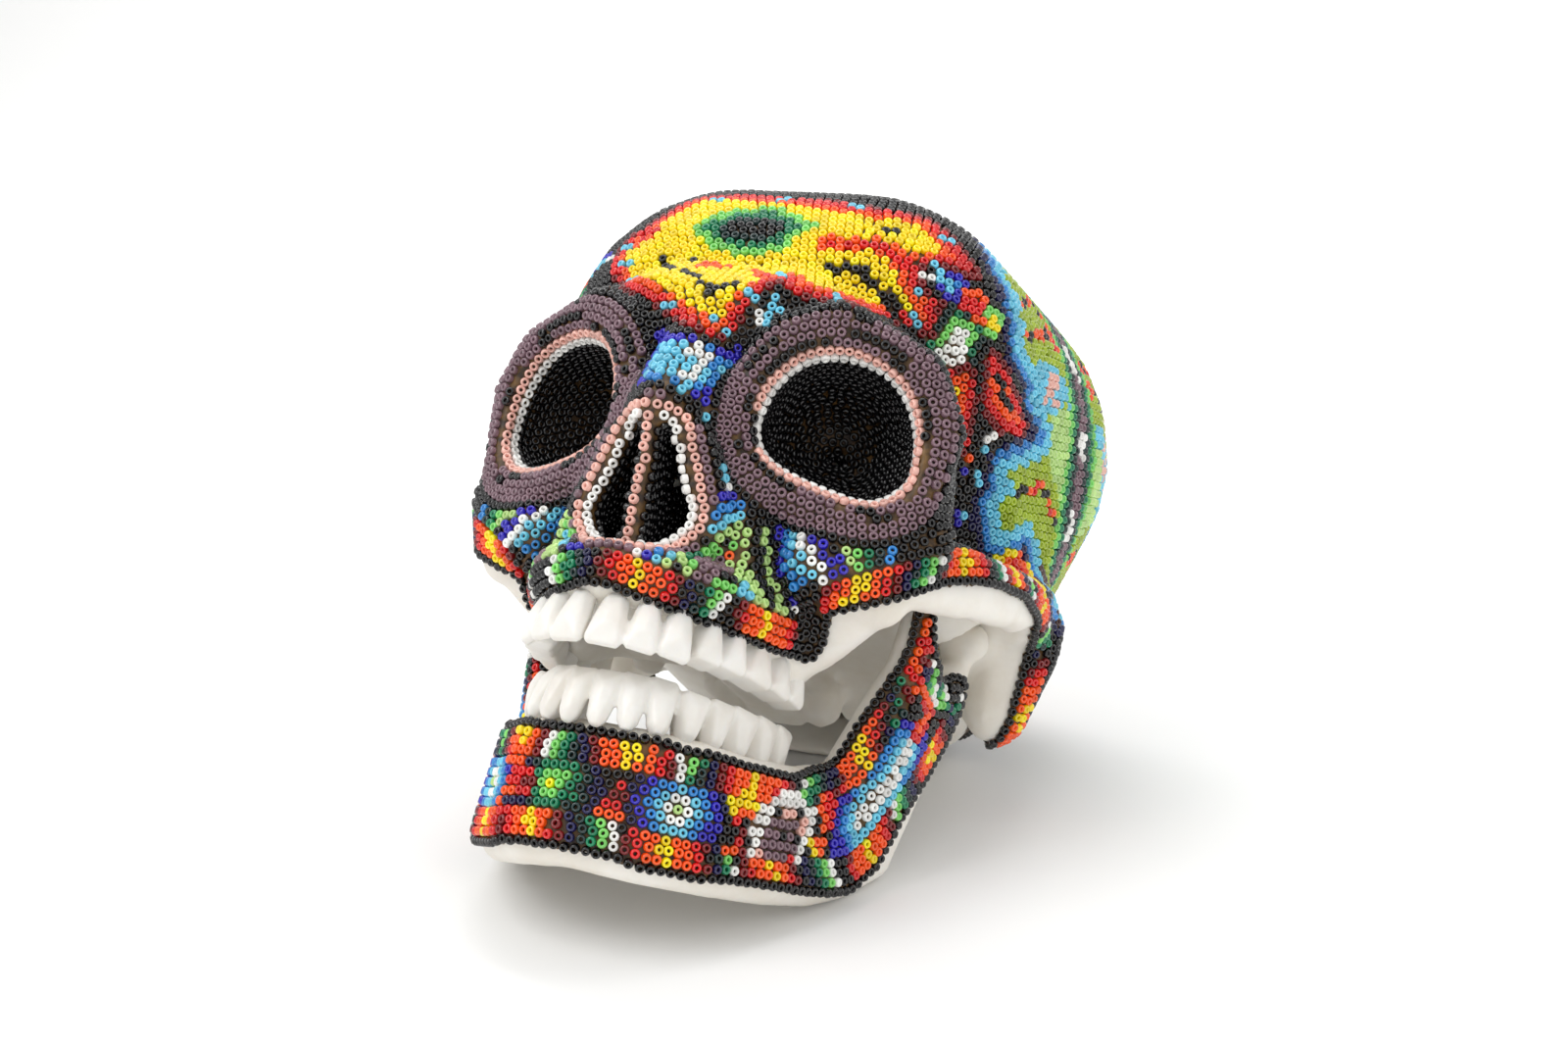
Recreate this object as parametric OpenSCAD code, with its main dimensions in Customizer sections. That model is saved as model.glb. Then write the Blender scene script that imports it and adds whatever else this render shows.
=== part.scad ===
// Life-size beaded skull sculpture: a hollow resin cranium and a hinged resin jaw, each with
// its bare teeth, covered from rim to crown in panels of wax and small glass beads.
// The skull is drawn level (x to its own left, -y forward, z up, origin midway between the
// ear openings) and then leaned back to rest on the back of the head and both jaw angles.

/* [Resting pose] */
// Degrees that the skull leans back from the level eye line
lean_back = 37; // [36:0.5:38]
// Degrees that the jaw hangs open from teeth nearly meeting
jaw_open = 4; // [3:0.5:6]
// Height of the ear openings above the table
ear_height = 40.8; // [40.5:0.1:41.2]

/* [Castings] */
// Half the breadth of the braincase casting
half_breadth = 64.5; // [62:0.5:67]
// Wall of the hollow cranium
wall = 4; // [3:0.5:6]
// Radius of the opening under the braincase
base_hole_r = 15; // [12:0.5:17]

/* [Beadwork] */
// Thickness of the wax and bead layer
skin = 1.8; // [1.4:0.1:2.2]
// Width of the beaded collar around each eye socket
ring_w = 9; // [7:0.5:10]
// Width of the beaded edge bands
band_w = 9; // [7:0.5:10]

/* [Eye sockets] */
// Width of a socket's mouth in the resin
socket_w = 42; // [38:0.5:44]
// Height of a socket's mouth in the resin
socket_h = 38; // [34:0.5:40]
// Depth of a socket
socket_d = 42; // [34:1:46]

/* [Teeth] */
// Height of a front tooth above the gum
crown = 9.5; // [8:0.5:11]
// Degrees that the front teeth lean forward
lean = 14; // [8:1:18]

/* [Jaw hinge] */
// Diameter of the steel hinge pins
pin_d = 3; // [2.5:0.1:3.4]
// Running clearance between pin and bush, on the radius
pin_clearance = 0.05; // [0.03:0.01:0.1]
// Outer diameter of the brass bushes
bush_d = 5; // [4.6:0.1:5.4]
// Length of each bush
bush_l = 9.5; // [8:0.5:10]

/* [Hidden] */
brow_back = -58;
crown_z = 78;
nape_y = 42;
chin_back = -60;
upper_arch = [31.5, 49, -57];
lower_arch = [30, 46, -56];
upper_widths = [8.5, 7.5, 8, 7.5, 7.5, 9.5, 9, 8];
lower_widths = [7, 7, 7.5, 7.5, 7.5, 9.5, 9, 8];
upper_gum = -39;
lower_gum = -53;
big_fn = 24;
fine_fn = 8;
hollow_fn = 14;
parietal_r = 45;
far = 300;
ear_y = 21.4;
seam = 0.05;
hinge = [47.4, -12, -4];
socket_centre = [34, -82, 16.5];
socket_turn = [8, 14, 22];
corner_r = 12;
condyle_r = 5;
condyle_x = [40.5, 54.3];
bush_from = 41.5;
pin_x = [29, bush_from + bush_l - 0.4];
fit_gap = 0.9;

// ---- Helpers --------------------------------------------------------------------------

module both() {
    children();
    mirror([1, 0, 0]) children();
}

// side is 1 for the skull's left and -1 for its right
module on_side(side) {
    mirror([side < 0 ? 1 : 0, 0, 0]) children();
}

module ball(at, r) {
    translate(at) sphere(max(r, 0.5), $fn = r > 20 ? big_fn : fine_fn);
}

// A run of balls [x, y, z, radius], each hulled to the next
module run(balls, g = 0) {
    for (i = [0 : len(balls) - 2]) {
        hull() {
            for (b = [balls[i], balls[i + 1]]) {
                ball([b.x, b.y, b.z], b[3] + g);
            }
        }
    }
}

// One hull around a set of balls [x, y, z, radius]
module lump(balls, g = 0) {
    hull() {
        for (b = balls) {
            ball([b.x, b.y, b.z], b[3] + g);
        }
    }
}

module socket_frame() {
    translate(socket_centre) rotate([0, 0, socket_turn[2]]) rotate([socket_turn[0], 0, 0])
        rotate([0, socket_turn[1], 0]) children();
}

// Middles of the four rounded corners of a socket's mouth, anticlockwise from the outer top
function mouth_corners() =
    let (x = socket_w / 2 - corner_r, z = socket_h / 2 - corner_r)
    [[x - 4, z - 2], [3 - x, z], [-x, 2 - z], [x, -z]];

// Points round the mouth, a given distance outside its edge
function mouth_outline(out) =
    [for (i = [0 : 3], a = [20, 70] + [1, 1] * 90 * i)
        let (c = mouth_corners()[i])
        [c.x + (corner_r + out) * cos(a), 2, c.y + (corner_r + out) * sin(a)]];

module place() {
    translate([0, ear_y, ear_height]) rotate([-lean_back, 0, 0]) children();
}

module open_jaw() {
    translate([0, hinge.y, hinge.z]) rotate([jaw_open, 0, 0])
        translate([0, -hinge.y, -hinge.z]) children();
}

module table_cut() {
    difference() {
        children();
        translate([-far, -far, -2 * far]) cube(2 * far);
    }
}

// ---- Teeth ----------------------------------------------------------------------------

// An arch is [half width, length, y of its back end]: half an ellipse, open at the back
function arch_angle(arch, s, t = 0, gone = 0) =
    gone >= s ? t :
    arch_angle(arch, s, t + 1, gone + PI / 180 * norm([arch[0] * cos(t), arch[1] * sin(t)]));

// The point at a distance s round the arch from its middle, set in from the tooth faces
function arch_at(arch, s, inset, z) =
    let (t = arch_angle(arch, s))
    [(arch[0] - inset) * sin(t), arch[2] - (arch[1] - inset) * cos(t), z];

function arch_heading(arch, s) =
    let (t = arch_angle(arch, s))
    atan2(arch[1] * sin(t), arch[0] * cos(t));

function sum_to(list, last, i = 0) = i > last ? 0 : list[i] + sum_to(list, last, i + 1);

// Crown with its neck, standing on z = 0 at the gum; thin_edge is the depth at the biting edge
module tooth(w, depth, edge, crown_h) {
    r = 1.3;
    hull() {
        for (x = [-1, 1], y = [-1, 1]) {
            translate([x * (w / 2 - r), y * max(edge / 2 - r, 0), crown_h - r]) sphere(r, $fn = 6);
        }
        translate([0, 0, crown_h * 0.42]) scale([w * 0.5, depth * 0.5, 3]) sphere(1, $fn = 8);
        translate([0, 0, -2]) scale([w * 0.36, depth * 0.4, 2]) sphere(1, $fn = 6);
    }
}

// down is 1 for the upper teeth, whose crowns point down, and -1 for the lower
module teeth(arch, widths, gum, rise, down) {
    for (i = [0 : len(widths) - 1]) {
        s = sum_to(widths, i) - widths[i] / 2;
        front = i < 3;
        depth = front ? 6.5 : 9.5;
        p = arch_at(arch, s, depth / 2 + 0.4, gum + s * rise);
        both() translate(p) rotate([down > 0 ? 180 : 0, 0, 0])
            rotate([0, 0, -down * arch_heading(arch, s)]) rotate([-lean * (front ? 1 : 0.4), 0, 0])
                tooth(widths[i] - 0.3, depth, front ? 3.2 : 8, front ? crown : crown - 2);
    }
}

// ---- Cranium shape --------------------------------------------------------------------

module braincase(g) {
    hull() {
        both() {
            ball([half_breadth - parietal_r, 5, 52], parietal_r + g);
            ball([15, -39, 50], 43 + g);
            ball([33, -12, 14], 26 + g);
            ball([27, -43, 20], 22 + g);
            ball([14, 29, 5], 28 + g);
        }
        ball([0, 26, 37], 39 + g);
    }
}

module brow(g) {
    lump([[0, -84, 34, 12], [16, -82, 41, 10], [14, -68, 50, 14], [-14, -68, 50, 14],
        [-16, -82, 41, 10]], g);
    both() lump([[16, -82, 41, 10], [31, -78, 40, 7], [41, -70, 35, 6], [24, -62, 50, 12]], g);
}

module socket_rim(g) {
    socket_frame() lump([for (p = mouth_outline(3)) concat(p, 4.8)], g);
}

// The bone behind a socket, which closes it all round
module socket_shell(g) {
    socket_frame() hull() {
        for (c = mouth_corners(), y = [4, 12]) {
            ball([c.x, y, c.y], corner_r + 1.5 + g);
        }
        ball([-9, socket_d, 2], 11 + g);
    }
}

module cheekbone(g) {
    lump([[45, -69, -9, 9], [34, -75, -14, 8], [53, -66, -2, 6], [47, -66, -17, 6]], g);
    lump([[46, -66, -16, 6], [36, -68, -18, 7], [31, -60, -26, 7]], g);
    lump([[51, -66, 10, 5], [51, -65, -2, 6], [45, -56, 12, 6], [44, -58, 26, 6]], g);
}

// Two points, each as a pair of balls a lift above and below it
module both_heights(a, b, lift, g) {
    for (p = [a, b], up = [-1, 1]) {
        ball([p.x, p.y, p.z + up * lift], p[3] + g);
    }
}

module cheek_arch(g) {
    hull() both_heights([51, -63, -8, 5.5], [59, -50, -5, 4.5], 3, g);
    hull() both_heights([59, -50, -5, 4.5], [62, -32, 0, 4.2], 2.5, g);
    hull() both_heights([62, -32, 0, 4.2], [60, -12, 6, 5], 2, g);
    hull() both_heights([60, -12, 6, 5], [55, 2, 9, 8], 2, g);
}

module upper_jaw(g) {
    hull() both() {
        ball([12, -76, -12], 12 + g);
        ball([26, -64, -12], 12 + g);
        ball([12, -79, -31], 9 + g);
        ball([25, -60, -30], 8 + g);
    }
    both() run([for (s = [0 : 11 : 55]) concat(arch_at(upper_arch, s, 5.5, -31 + s * 0.07), 6.5)], g);
}

module nose(g) {
    lump([[0, -89, 29, 8], [0, -101, 9, 4.5], [-9, -88, 12, 6], [9, -88, 12, 6]], g);
    both() lump([[9, -88, 12, 6], [16, -83, -8, 7], [18, -82, -20, 7], [10, -86, 20, 6]], g);
    lump([[0, -74, 4, 12], [8, -74, -14, 12], [-8, -74, -14, 12]], g);
    lump([[0, -101, 9, 4.2], [-9, -95, 1, 4.2], [9, -95, 1, 4.2], [-14, -91, -13, 4.5],
        [14, -91, -13, 4.5], [-9, -92, -25, 4.5], [9, -92, -25, 4.5]], g);
}

module mastoid(g) {
    lump([[53, 6, 6, 12], [52, 7, -14, 7.5], [44, 16, 2, 12]], g);
}

module skull_base(g) {
    lump([[0, -52, -16, 12], [0, -16, -12, 14], [0, 4, -12, 14]], g);
    both() run([[13, -44, -16, 5], [14, -47, -31, 4]], g);
    both() lump([[11, 0, -20, 6], [13, -9, -20, 5]], g);
}

module cranium_mass(g) {
    braincase(g);
    brow(g);
    nose(g);
    upper_jaw(g);
    both() {
        socket_rim(g);
        socket_shell(g);
        cheekbone(g);
        cheek_arch(g);
        mastoid(g);
    }
}

// ---- Openings in the cranium ----------------------------------------------------------

module socket_mouth(grow, from, to) {
    hull() {
        for (c = mouth_corners(), y = [from, to]) {
            ball([c.x, y, c.y], corner_r + grow);
        }
    }
}

module socket_hollow(g) {
    socket_frame() {
        hull() {
            socket_mouth(-g, -18, 4);
            ball([-9, socket_d, 2], 8 - g);
        }
    }
}

module nose_hollow(g) {
    both() hull() {
        for (y = [-112, -66]) {
            ball([3.2, y, 3], 2.4 - g * 0.6);
            ball([7.2, y, -14], 5.2 - g);
            ball([5.2, y, -19], 4 - g);
        }
    }
}

module palate_hollow() {
    hull() both() {
        ball([9, -74, -42], 9);
        ball([15, -58, -42], 10);
        ball([15, -36, -42], 10);
    }
}

// The moulded hollow inside the braincase and the opening under it
module brain_hollow() {
    hull() {
        both() {
            for (b = [[half_breadth - parietal_r, 5, 52, parietal_r], [15, -39, 50, 43],
                [30, -8, 18, 22], [14, 26, 10, 27], [0, 26, 37, 39]]) {
                translate([b.x, b.y, b.z]) sphere(b[3] - wall, $fn = hollow_fn);
            }
        }
    }
    translate([0, 20, -60]) cylinder(h = 80, r = base_hole_r, $fn = big_fn);
}

module hinge_pocket() {
    both() hull() {
        for (x = [condyle_x[0] + condyle_r, far / 4], d = [0, 1]) {
            ball([x, hinge.y - d * 4, hinge.z - d * 34], condyle_r + fit_gap + d * 3);
        }
    }
}

module cranium_solid() {
    difference() {
        union() {
            cranium_mass(0);
            skull_base(0);
        }
        both() socket_hollow(0);
        nose_hollow(0);
        palate_hollow();
        brain_hollow();
        hinge_pocket();
    }
}

// ---- Beadwork on the cranium ----------------------------------------------------------

// Side view of all that is beaded, as [y, z] points
cranium_edge = [[-72, -26], [-72, -20], [-66, -13], [-57, -7], [-43, -2], [-16, 2], [-1, -1],
    [1, -9], [3, -20], [7, -30]];
beaded_outline = concat([[-130, -34], [-62, -34]], cranium_edge,
    [[16, -18], [18, -6], [36, -8], [100, -8], [100, 130], [-130, 130]]);
// The edge bands reach a little past that edge, so that no faces coincide
band_outline = concat([for (p = cranium_edge) p - [1.5, 1.5]], [[20, -34], [17, -12], [10, -2], [2, 8], [-14, 2 + band_w],
    [-43, -2 + band_w], [-58, band_w - 6], [-68, band_w - 14], [-82, band_w - 22],
    [-84, -28]]);

// Prism of a side-view outline, from x = from outward to both sides
module side_prism(outline, from, to) {
    translate([from, 0, 0]) rotate([90, 0, 90]) linear_extrude(to - from) polygon(outline);
}

module front_box(half_w, y_back, z_low, z_high) {
    translate([-half_w, -130, z_low]) cube([2 * half_w, 130 + y_back, z_high - z_low]);
}

module half_space(side) {
    on_side(side) translate([0, -far, -far]) cube(2 * far);
}

module cranium_layer() {
    difference() {
        intersection() {
            cranium_mass(skin);
            side_prism(beaded_outline, -far, far);
        }
        difference() {
            union() {
                cranium_mass(0);
                skull_base(0);
            }
            both() socket_hollow(0);
            nose_hollow(0);
        }
        both() socket_hollow(skin);
        nose_hollow(skin);
        bare_zone();
    }
}

// Hidden faces that stay bare: inside the cheek arch, over the palate and under the base
module bare_zone() {
    difference() {
        both() {
            translate([-1, -66, -20]) cube([31, 56, 32]);
            translate([30, -60, -20]) cube([30.5, 57, 28]);
            translate([-1, -10, -30]) cube([45, 29, 24]);
        }
        both() socket_zone();
        nose_zone();
    }
}

// The eye sockets and nose as fields, a hair over size so that no faces coincide
module socket_zone() {
    socket_hollow(-seam);
}

module nose_zone() {
    nose_hollow(-seam);
}

module collar_prism() {
    socket_frame() socket_mouth(ring_w, -22, 16);
}

module nose_prism() {
    both() hull() {
        for (y = [-125, -84]) {
            ball([3.2, y, 5], 2.4 + 5.5);
            ball([7.2, y, -14], 5.2 + 5.5);
            ball([5.2, y, -19], 4 + 5.5);
            ball([-1, y, -14], 5);
        }
    }
}

// One field of the layer: all that lies inside the first child and outside the others
module field(tint) {
    color(tint) table_cut() place() difference() {
        intersection() {
            cranium_layer();
            children(0);
        }
        for (i = [1 : 1 : $children - 1]) {
            children(i);
        }
    }
}

module socket_lining(side) {
    field("black") on_side(side) socket_zone();
}

module socket_collar(side) {
    field("rosybrown") {
        intersection() {
            half_space(side);
            on_side(side) collar_prism();
        }
        both() socket_zone();
        nose_prism();
        nose_zone();
    }
}

module nose_lining() {
    field("black") nose_zone();
}

module nose_rim_beadwork() {
    field("mistyrose") {
        nose_prism();
        nose_zone();
    }
}

module nose_bridge_beadwork() {
    field("royalblue") {
        front_box(17, -75, 4, 34);
        nose_prism();
        nose_zone();
        both() collar_prism();
    }
}

module upper_lip_band() {
    field("orangered") {
        front_box(60, -50, -36, -34 + band_w);
        side_prism(band_outline, 36, far);
        mirror([1, 0, 0]) side_prism(band_outline, 36, far);
        nose_prism();
    }
}

module arch_band(side) {
    field("orangered") {
        on_side(side) side_prism(band_outline, 36, far);
        both() collar_prism();
    }
}

module cheek_beadwork(side) {
    field("seagreen") {
        intersection() {
            half_space(side);
            front_box(80, -48, -34 + band_w, 10);
        }
        both() side_prism(band_outline, 36, far);
        both() collar_prism();
        nose_prism();
        nose_zone();
        front_box(17, -75, 4, 34);
        both() socket_zone();
    }
}

module forehead_beadwork() {
    field("gold") {
        front_box(80, brow_back, 10, crown_z + 5);
        front_box(17, -75, 4, 34);
        both() collar_prism();
        both() translate([16, -75, 0]) cube([60, 30, 34]);
    }
}

module crown_beadwork() {
    field("tomato") {
        translate([-far, -far, crown_z]) cube([2 * far, far + nape_y, far]);
        front_box(80, brow_back, 10, crown_z + 5);
    }
}

module back_beadwork() {
    field("yellowgreen") translate([-far, nape_y, -far]) cube(2 * far);
}

module side_beadwork(side) {
    field("yellowgreen") {
        intersection() {
            half_space(side);
            translate([-far, brow_back - 22, -far]) cube([2 * far, nape_y - brow_back + 22, far + crown_z]);
        }
        difference() {
            front_box(80, brow_back, -40, far);
            both() translate([16, -75, 10]) cube([60, 30, 24]);
        }
        front_box(80, -48, -34, 10);
        both() side_prism(band_outline, 36, far);
        both() collar_prism();
        both() socket_zone();
    }
}

module cranium_casting() {
    color("ivory") table_cut() place() cranium_solid();
}

// ---- Jaw shape ------------------------------------------------------------------------

module jaw_section(top, low, g) {
    ball([top.x, top.y, top.z], top[3] + g);
    ball([low.x, low.y, low.z], low[3] + g);
}

module jaw_body(g) {
    tops = [[0, -92, -59.5, 6], [11, -90, -59.5, 6], [20, -81, -58.5, 6], [26, -68, -57.5, 6],
        [31, -54, -55, 6], [36, -42, -50, 6]];
    lows = [[0, -90, -77, 8], [12, -87, -78, 7.5], [23, -76, -77, 7], [31, -62, -75, 6.5],
        [36, -48, -72, 6], [39, -36, -67, 6]];
    for (i = [0 : len(tops) - 2]) {
        hull() {
            jaw_section(tops[i], lows[i], g);
            jaw_section(tops[i + 1], lows[i + 1], g);
        }
    }
}

module jaw_ramus(g) {
    lump([[36, -42, -51, 6], [39, -36, -67, 6], [42, -28, -62, 5], [45, -41, -20, 4],
        [46, -13, -21, 4]], g);
    lump([[45, -41, -20, 4], [47, -44, -3, 3], [46, -32, -18, 4]], g);
    lump([[46, -13, -21, 4], [47, -11, -10, 3.5], [46, -24, -22, 4]], g);
}

module condyle() {
    hull() {
        for (x = [condyle_x[0] + condyle_r, condyle_x[1] - condyle_r]) {
            ball([x, hinge.y, hinge.z], condyle_r);
        }
    }
}

module jaw_mass(g) {
    both() {
        jaw_body(g);
        jaw_ramus(g);
    }
}

// Side view of all that is beaded on the closed jaw, as [y, z] points
jaw_outline = [[-130, -57], [-80, -57], [-62, -54], [-50, -44], [-46, -34], [-45, -21], [-47, -8],
    [-49, 2], [-41, 2], [-38, -9], [-33, -13], [-18, -12], [-7, -13], [-7, -20], [-14, -34],
    [-22, -50], [-32, -66], [-42, -73], [-63, -78], [-84, -82], [-130, -82]];
// Plan of the inside of the jaw, which stays bare
inside_plan = [[0, -90], [12, -88], [22, -78], [28, -65], [33, -51], [37, -41], [42, -28], [46, -14],
    [46, 20], [0, 20]];

module jaw_layer() {
    difference() {
        intersection() {
            jaw_mass(skin);
            side_prism(jaw_outline, -far, far);
        }
        jaw_mass(0);
        both() translate([0, 0, -130]) linear_extrude(140) polygon(inside_plan);
    }
}

module jaw_front_beadwork() {
    color("firebrick") table_cut() place() open_jaw() intersection() {
        jaw_layer();
        translate([-far, -far, -far]) cube([2 * far, far + chin_back, 2 * far]);
    }
}

module jaw_side_beadwork(side) {
    color("firebrick") table_cut() place() open_jaw() difference() {
        intersection() {
            jaw_layer();
            half_space(side);
        }
        translate([-far, -far, -far]) cube([2 * far, far + chin_back, 2 * far]);
    }
}

module jaw_solid() {
    difference() {
        union() {
            jaw_mass(0);
            both() condyle();
        }
        both() along_hinge(condyle_x[0] - 2, bush_from + bush_l + 2.4 - condyle_x[0])
            circle(d = bush_d - 0.04, $fn = 24);
    }
}

// A profile extruded outward along the hinge line from x = from
module along_hinge(from, length) {
    translate([from, hinge.y, hinge.z]) rotate([0, 90, 0]) linear_extrude(length) children();
}

module hinge_bush(side) {
    color("goldenrod") place() on_side(side) along_hinge(bush_from, bush_l)
        difference() {
            circle(d = bush_d, $fn = 48);
            circle(d = pin_d + 2 * pin_clearance, $fn = 48);
        }
}

module hinge_pin(side) {
    color("silver") place() on_side(side) along_hinge(pin_x[0], pin_x[1] - pin_x[0])
        circle(d = pin_d, $fn = 48);
}

module upper_teeth() {
    color("snow") place() teeth(upper_arch, upper_widths, upper_gum, 0.09, 1);
}

module lower_teeth() {
    color("snow") place() open_jaw() teeth(lower_arch, lower_widths, lower_gum, 0.07, -1);
}

module jaw_casting() {
    color("ivory") table_cut() place() open_jaw() jaw_solid();
}

cranium_casting();
jaw_casting();
upper_teeth();
lower_teeth();
hinge_pin(1);  // hinge_pin_left
hinge_pin(-1);  // hinge_pin_right
hinge_bush(1);  // hinge_bush_left
hinge_bush(-1);  // hinge_bush_right
forehead_beadwork();
crown_beadwork();
back_beadwork();
side_beadwork(1);  // side_beadwork_left
side_beadwork(-1);  // side_beadwork_right
socket_collar(1);  // socket_collar_left
socket_collar(-1);  // socket_collar_right
socket_lining(1);  // socket_lining_left
socket_lining(-1);  // socket_lining_right
nose_rim_beadwork();
nose_lining();
nose_bridge_beadwork();
cheek_beadwork(1);  // cheek_beadwork_left
cheek_beadwork(-1);  // cheek_beadwork_right
upper_lip_band();
arch_band(1);  // arch_band_left
arch_band(-1);  // arch_band_right
jaw_front_beadwork();
jaw_side_beadwork(1);  // jaw_side_beadwork_left
jaw_side_beadwork(-1);  // jaw_side_beadwork_right
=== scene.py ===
import math

import bpy
import numpy as np
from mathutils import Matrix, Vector
from mathutils.bvhtree import BVHTree
from mathutils.kdtree import KDTree


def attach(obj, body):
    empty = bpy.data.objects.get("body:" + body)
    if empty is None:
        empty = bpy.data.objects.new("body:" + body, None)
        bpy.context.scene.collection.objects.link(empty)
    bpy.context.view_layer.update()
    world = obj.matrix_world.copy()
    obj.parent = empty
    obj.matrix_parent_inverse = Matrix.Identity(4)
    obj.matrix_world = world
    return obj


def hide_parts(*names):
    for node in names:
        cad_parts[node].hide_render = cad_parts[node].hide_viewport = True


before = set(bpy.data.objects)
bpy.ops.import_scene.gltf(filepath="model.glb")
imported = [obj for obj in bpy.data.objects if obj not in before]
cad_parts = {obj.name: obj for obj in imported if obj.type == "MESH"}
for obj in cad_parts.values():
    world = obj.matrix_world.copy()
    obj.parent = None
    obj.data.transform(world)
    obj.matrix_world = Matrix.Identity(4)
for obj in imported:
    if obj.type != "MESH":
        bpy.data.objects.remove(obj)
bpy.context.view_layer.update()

# ---- Cranium casting ---------------------------------------------------------------------
# A life-size skull slip-cast in white resin, sanded smooth, with sharp edges only at the teeth.
# Everything is laid out in millimetres on the level skull: x to its own left, -y forward, z up,
# from the middle of the line between the ear openings, and then leaned back onto the table.

LEAN = math.radians(37)
EARS = np.array([0, 21.4, 40.8])
lean_turn = np.array([[1, 0, 0], [0, math.cos(LEAN), math.sin(LEAN)],
                      [0, -math.sin(LEAN), math.cos(LEAN)]])
JAW_OPEN = math.radians(4)
HINGE = np.array([0, -12, -4])
jaw_turn = np.array([[1, 0, 0], [0, math.cos(JAW_OPEN), -math.sin(JAW_OPEN)],
                     [0, math.sin(JAW_OPEN), math.cos(JAW_OPEN)]])


def to_frame(points, on_jaw=False):
    """Level skull millimetres, the jaw closed, to the frame's metres."""
    p = np.asarray(points, float)
    if on_jaw:
        p = (p - HINGE) @ jaw_turn.T + HINGE
    return (p @ lean_turn.T + EARS) / 1000


def to_skull(points, on_jaw=False):
    """The frame's metres to level skull millimetres, the jaw closed."""
    p = (np.asarray(points, float) * 1000 - EARS) @ lean_turn
    if on_jaw:
        p = (p - HINGE) @ jaw_turn + HINGE
    return p


def mesh_arrays(mesh):
    co = np.zeros(len(mesh.vertices) * 3, np.float32)
    mesh.vertices.foreach_get("co", co)
    return co.reshape(-1, 3).astype(float)


SAND_IN, SAND_OUT = 0.6, -0.62   # the pair takes off facets and keeps the size


def relax(mesh, steps, floor=-1.0):
    """Moves every vertex a share of the way to its neighbours' middle, once for each step."""
    co = mesh_arrays(mesh)
    pairs = np.zeros(len(mesh.edges) * 2, np.int32)
    mesh.edges.foreach_get("vertices", pairs)
    a, b = pairs.reshape(-1, 2).T
    count = np.maximum(np.bincount(np.r_[a, b], minlength=len(co)), 1)[:, None]
    for step in steps:
        total = np.stack([np.bincount(a, co[b, k], len(co)) + np.bincount(b, co[a, k], len(co))
                          for k in range(3)], 1)
        co += step * (total / count - co)
    co[:, 2] = np.maximum(co[:, 2], floor)
    mesh.vertices.foreach_set("co", co.astype(np.float32).ravel())
    mesh.update()


def add_piece(name, mesh):
    piece = bpy.data.objects.new(name, mesh)
    bpy.context.scene.collection.objects.link(piece)
    return piece


def remeshed(name, source, voxel, rounds):
    """A new piece from the source's mesh, as one even skin of small faces, its facets sanded off."""
    shell = add_piece(name + "_shell", source)
    remesh = shell.modifiers.new("remesh", "REMESH")
    remesh.mode, remesh.voxel_size, remesh.use_smooth_shade = "VOXEL", voxel, True
    made = bpy.data.meshes.new_from_object(
        shell.evaluated_get(bpy.context.evaluated_depsgraph_get()))
    bpy.data.objects.remove(shell)
    made.name = name
    relax(made, [SAND_IN, SAND_OUT] * rounds, 0)
    made.materials.clear()
    return add_piece(name, made)


# Each socket is a cup of resin with a rolled lip, in a wider hollow of the skull.

MOUTH = np.array([
    (16.7, -88.1, 14.4), (16.6, -87.7, 11.6), (17.9, -86.6, 7.9), (20.3, -85.2, 5.1),
    (24.1, -83.4, 3.4), (28.7, -81.4, 2.3), (33.2, -79.4, 1.6), (37.6, -77.5, 1.1),
    (41.9, -75.6, 1.0), (45.4, -74.4, 2.6), (48.5, -73.6, 5.9), (50.9, -73.1, 9.6),
    (51.1, -73.6, 13.8), (50.1, -74.5, 17.6), (48.8, -75.7, 22.1), (47.1, -76.9, 25.7),
    (44.3, -78.6, 29.1), (40.6, -80.4, 31.7), (35.4, -82.8, 32.8), (29.5, -85.2, 32.3),
    (24.6, -86.9, 30.2), (20.9, -87.9, 26.4), (18.2, -88.4, 21.0), (17.2, -88.2, 16.6)])
BROW = np.array([
    (11.6, -92.4, 7.3), (13.6, -91.4, 2.9), (17.6, -89.3, -1.5), (23.8, -85.5, -3.4),
    (30.5, -82.6, -5.6), (37, -79.8, -7.3), (43.3, -78.1, -6.5), (48.8, -75.6, -4),
    (53.5, -74, 0), (55, -73, 10), (54.5, -76, 20), (52.5, -79, 28), (49, -81.3, 33.5),
    (44, -83, 38), (37, -86, 40), (30.3, -89.5, 39), (24.4, -91.5, 36.7), (18.9, -92.7, 32.2),
    (13.7, -92.9, 25), (11.7, -93.3, 12)])
INWARD = np.array([-0.383, 0.915, 0.126])
CUP_DEEP, CUP_WALL, STATIONS = 24, 3.0, 90


def round_the_axis(ring):
    """The ring at even angles about the socket's axis."""
    middle = MOUTH.mean(0)
    across = np.cross(INWARD, (0, 0, 1))
    across /= np.linalg.norm(across)
    upward = np.cross(across, INWARD)
    q = ring - middle
    angle = np.unwrap(np.arctan2(q @ upward, q @ across))
    if angle[-1] < angle[0]:
        angle, ring = angle[::-1], ring[::-1]
    wrapped = np.r_[angle - 2 * math.pi, angle, angle + 2 * math.pi]
    even = np.linspace(0, 2 * math.pi, STATIONS, endpoint=False)
    even = even[0] + (even + angle[0] - angle[0] % (2 * math.pi))
    return np.stack([np.interp(even, wrapped, np.tile(ring[:, k], 3)) for k in range(3)], 1)


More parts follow.
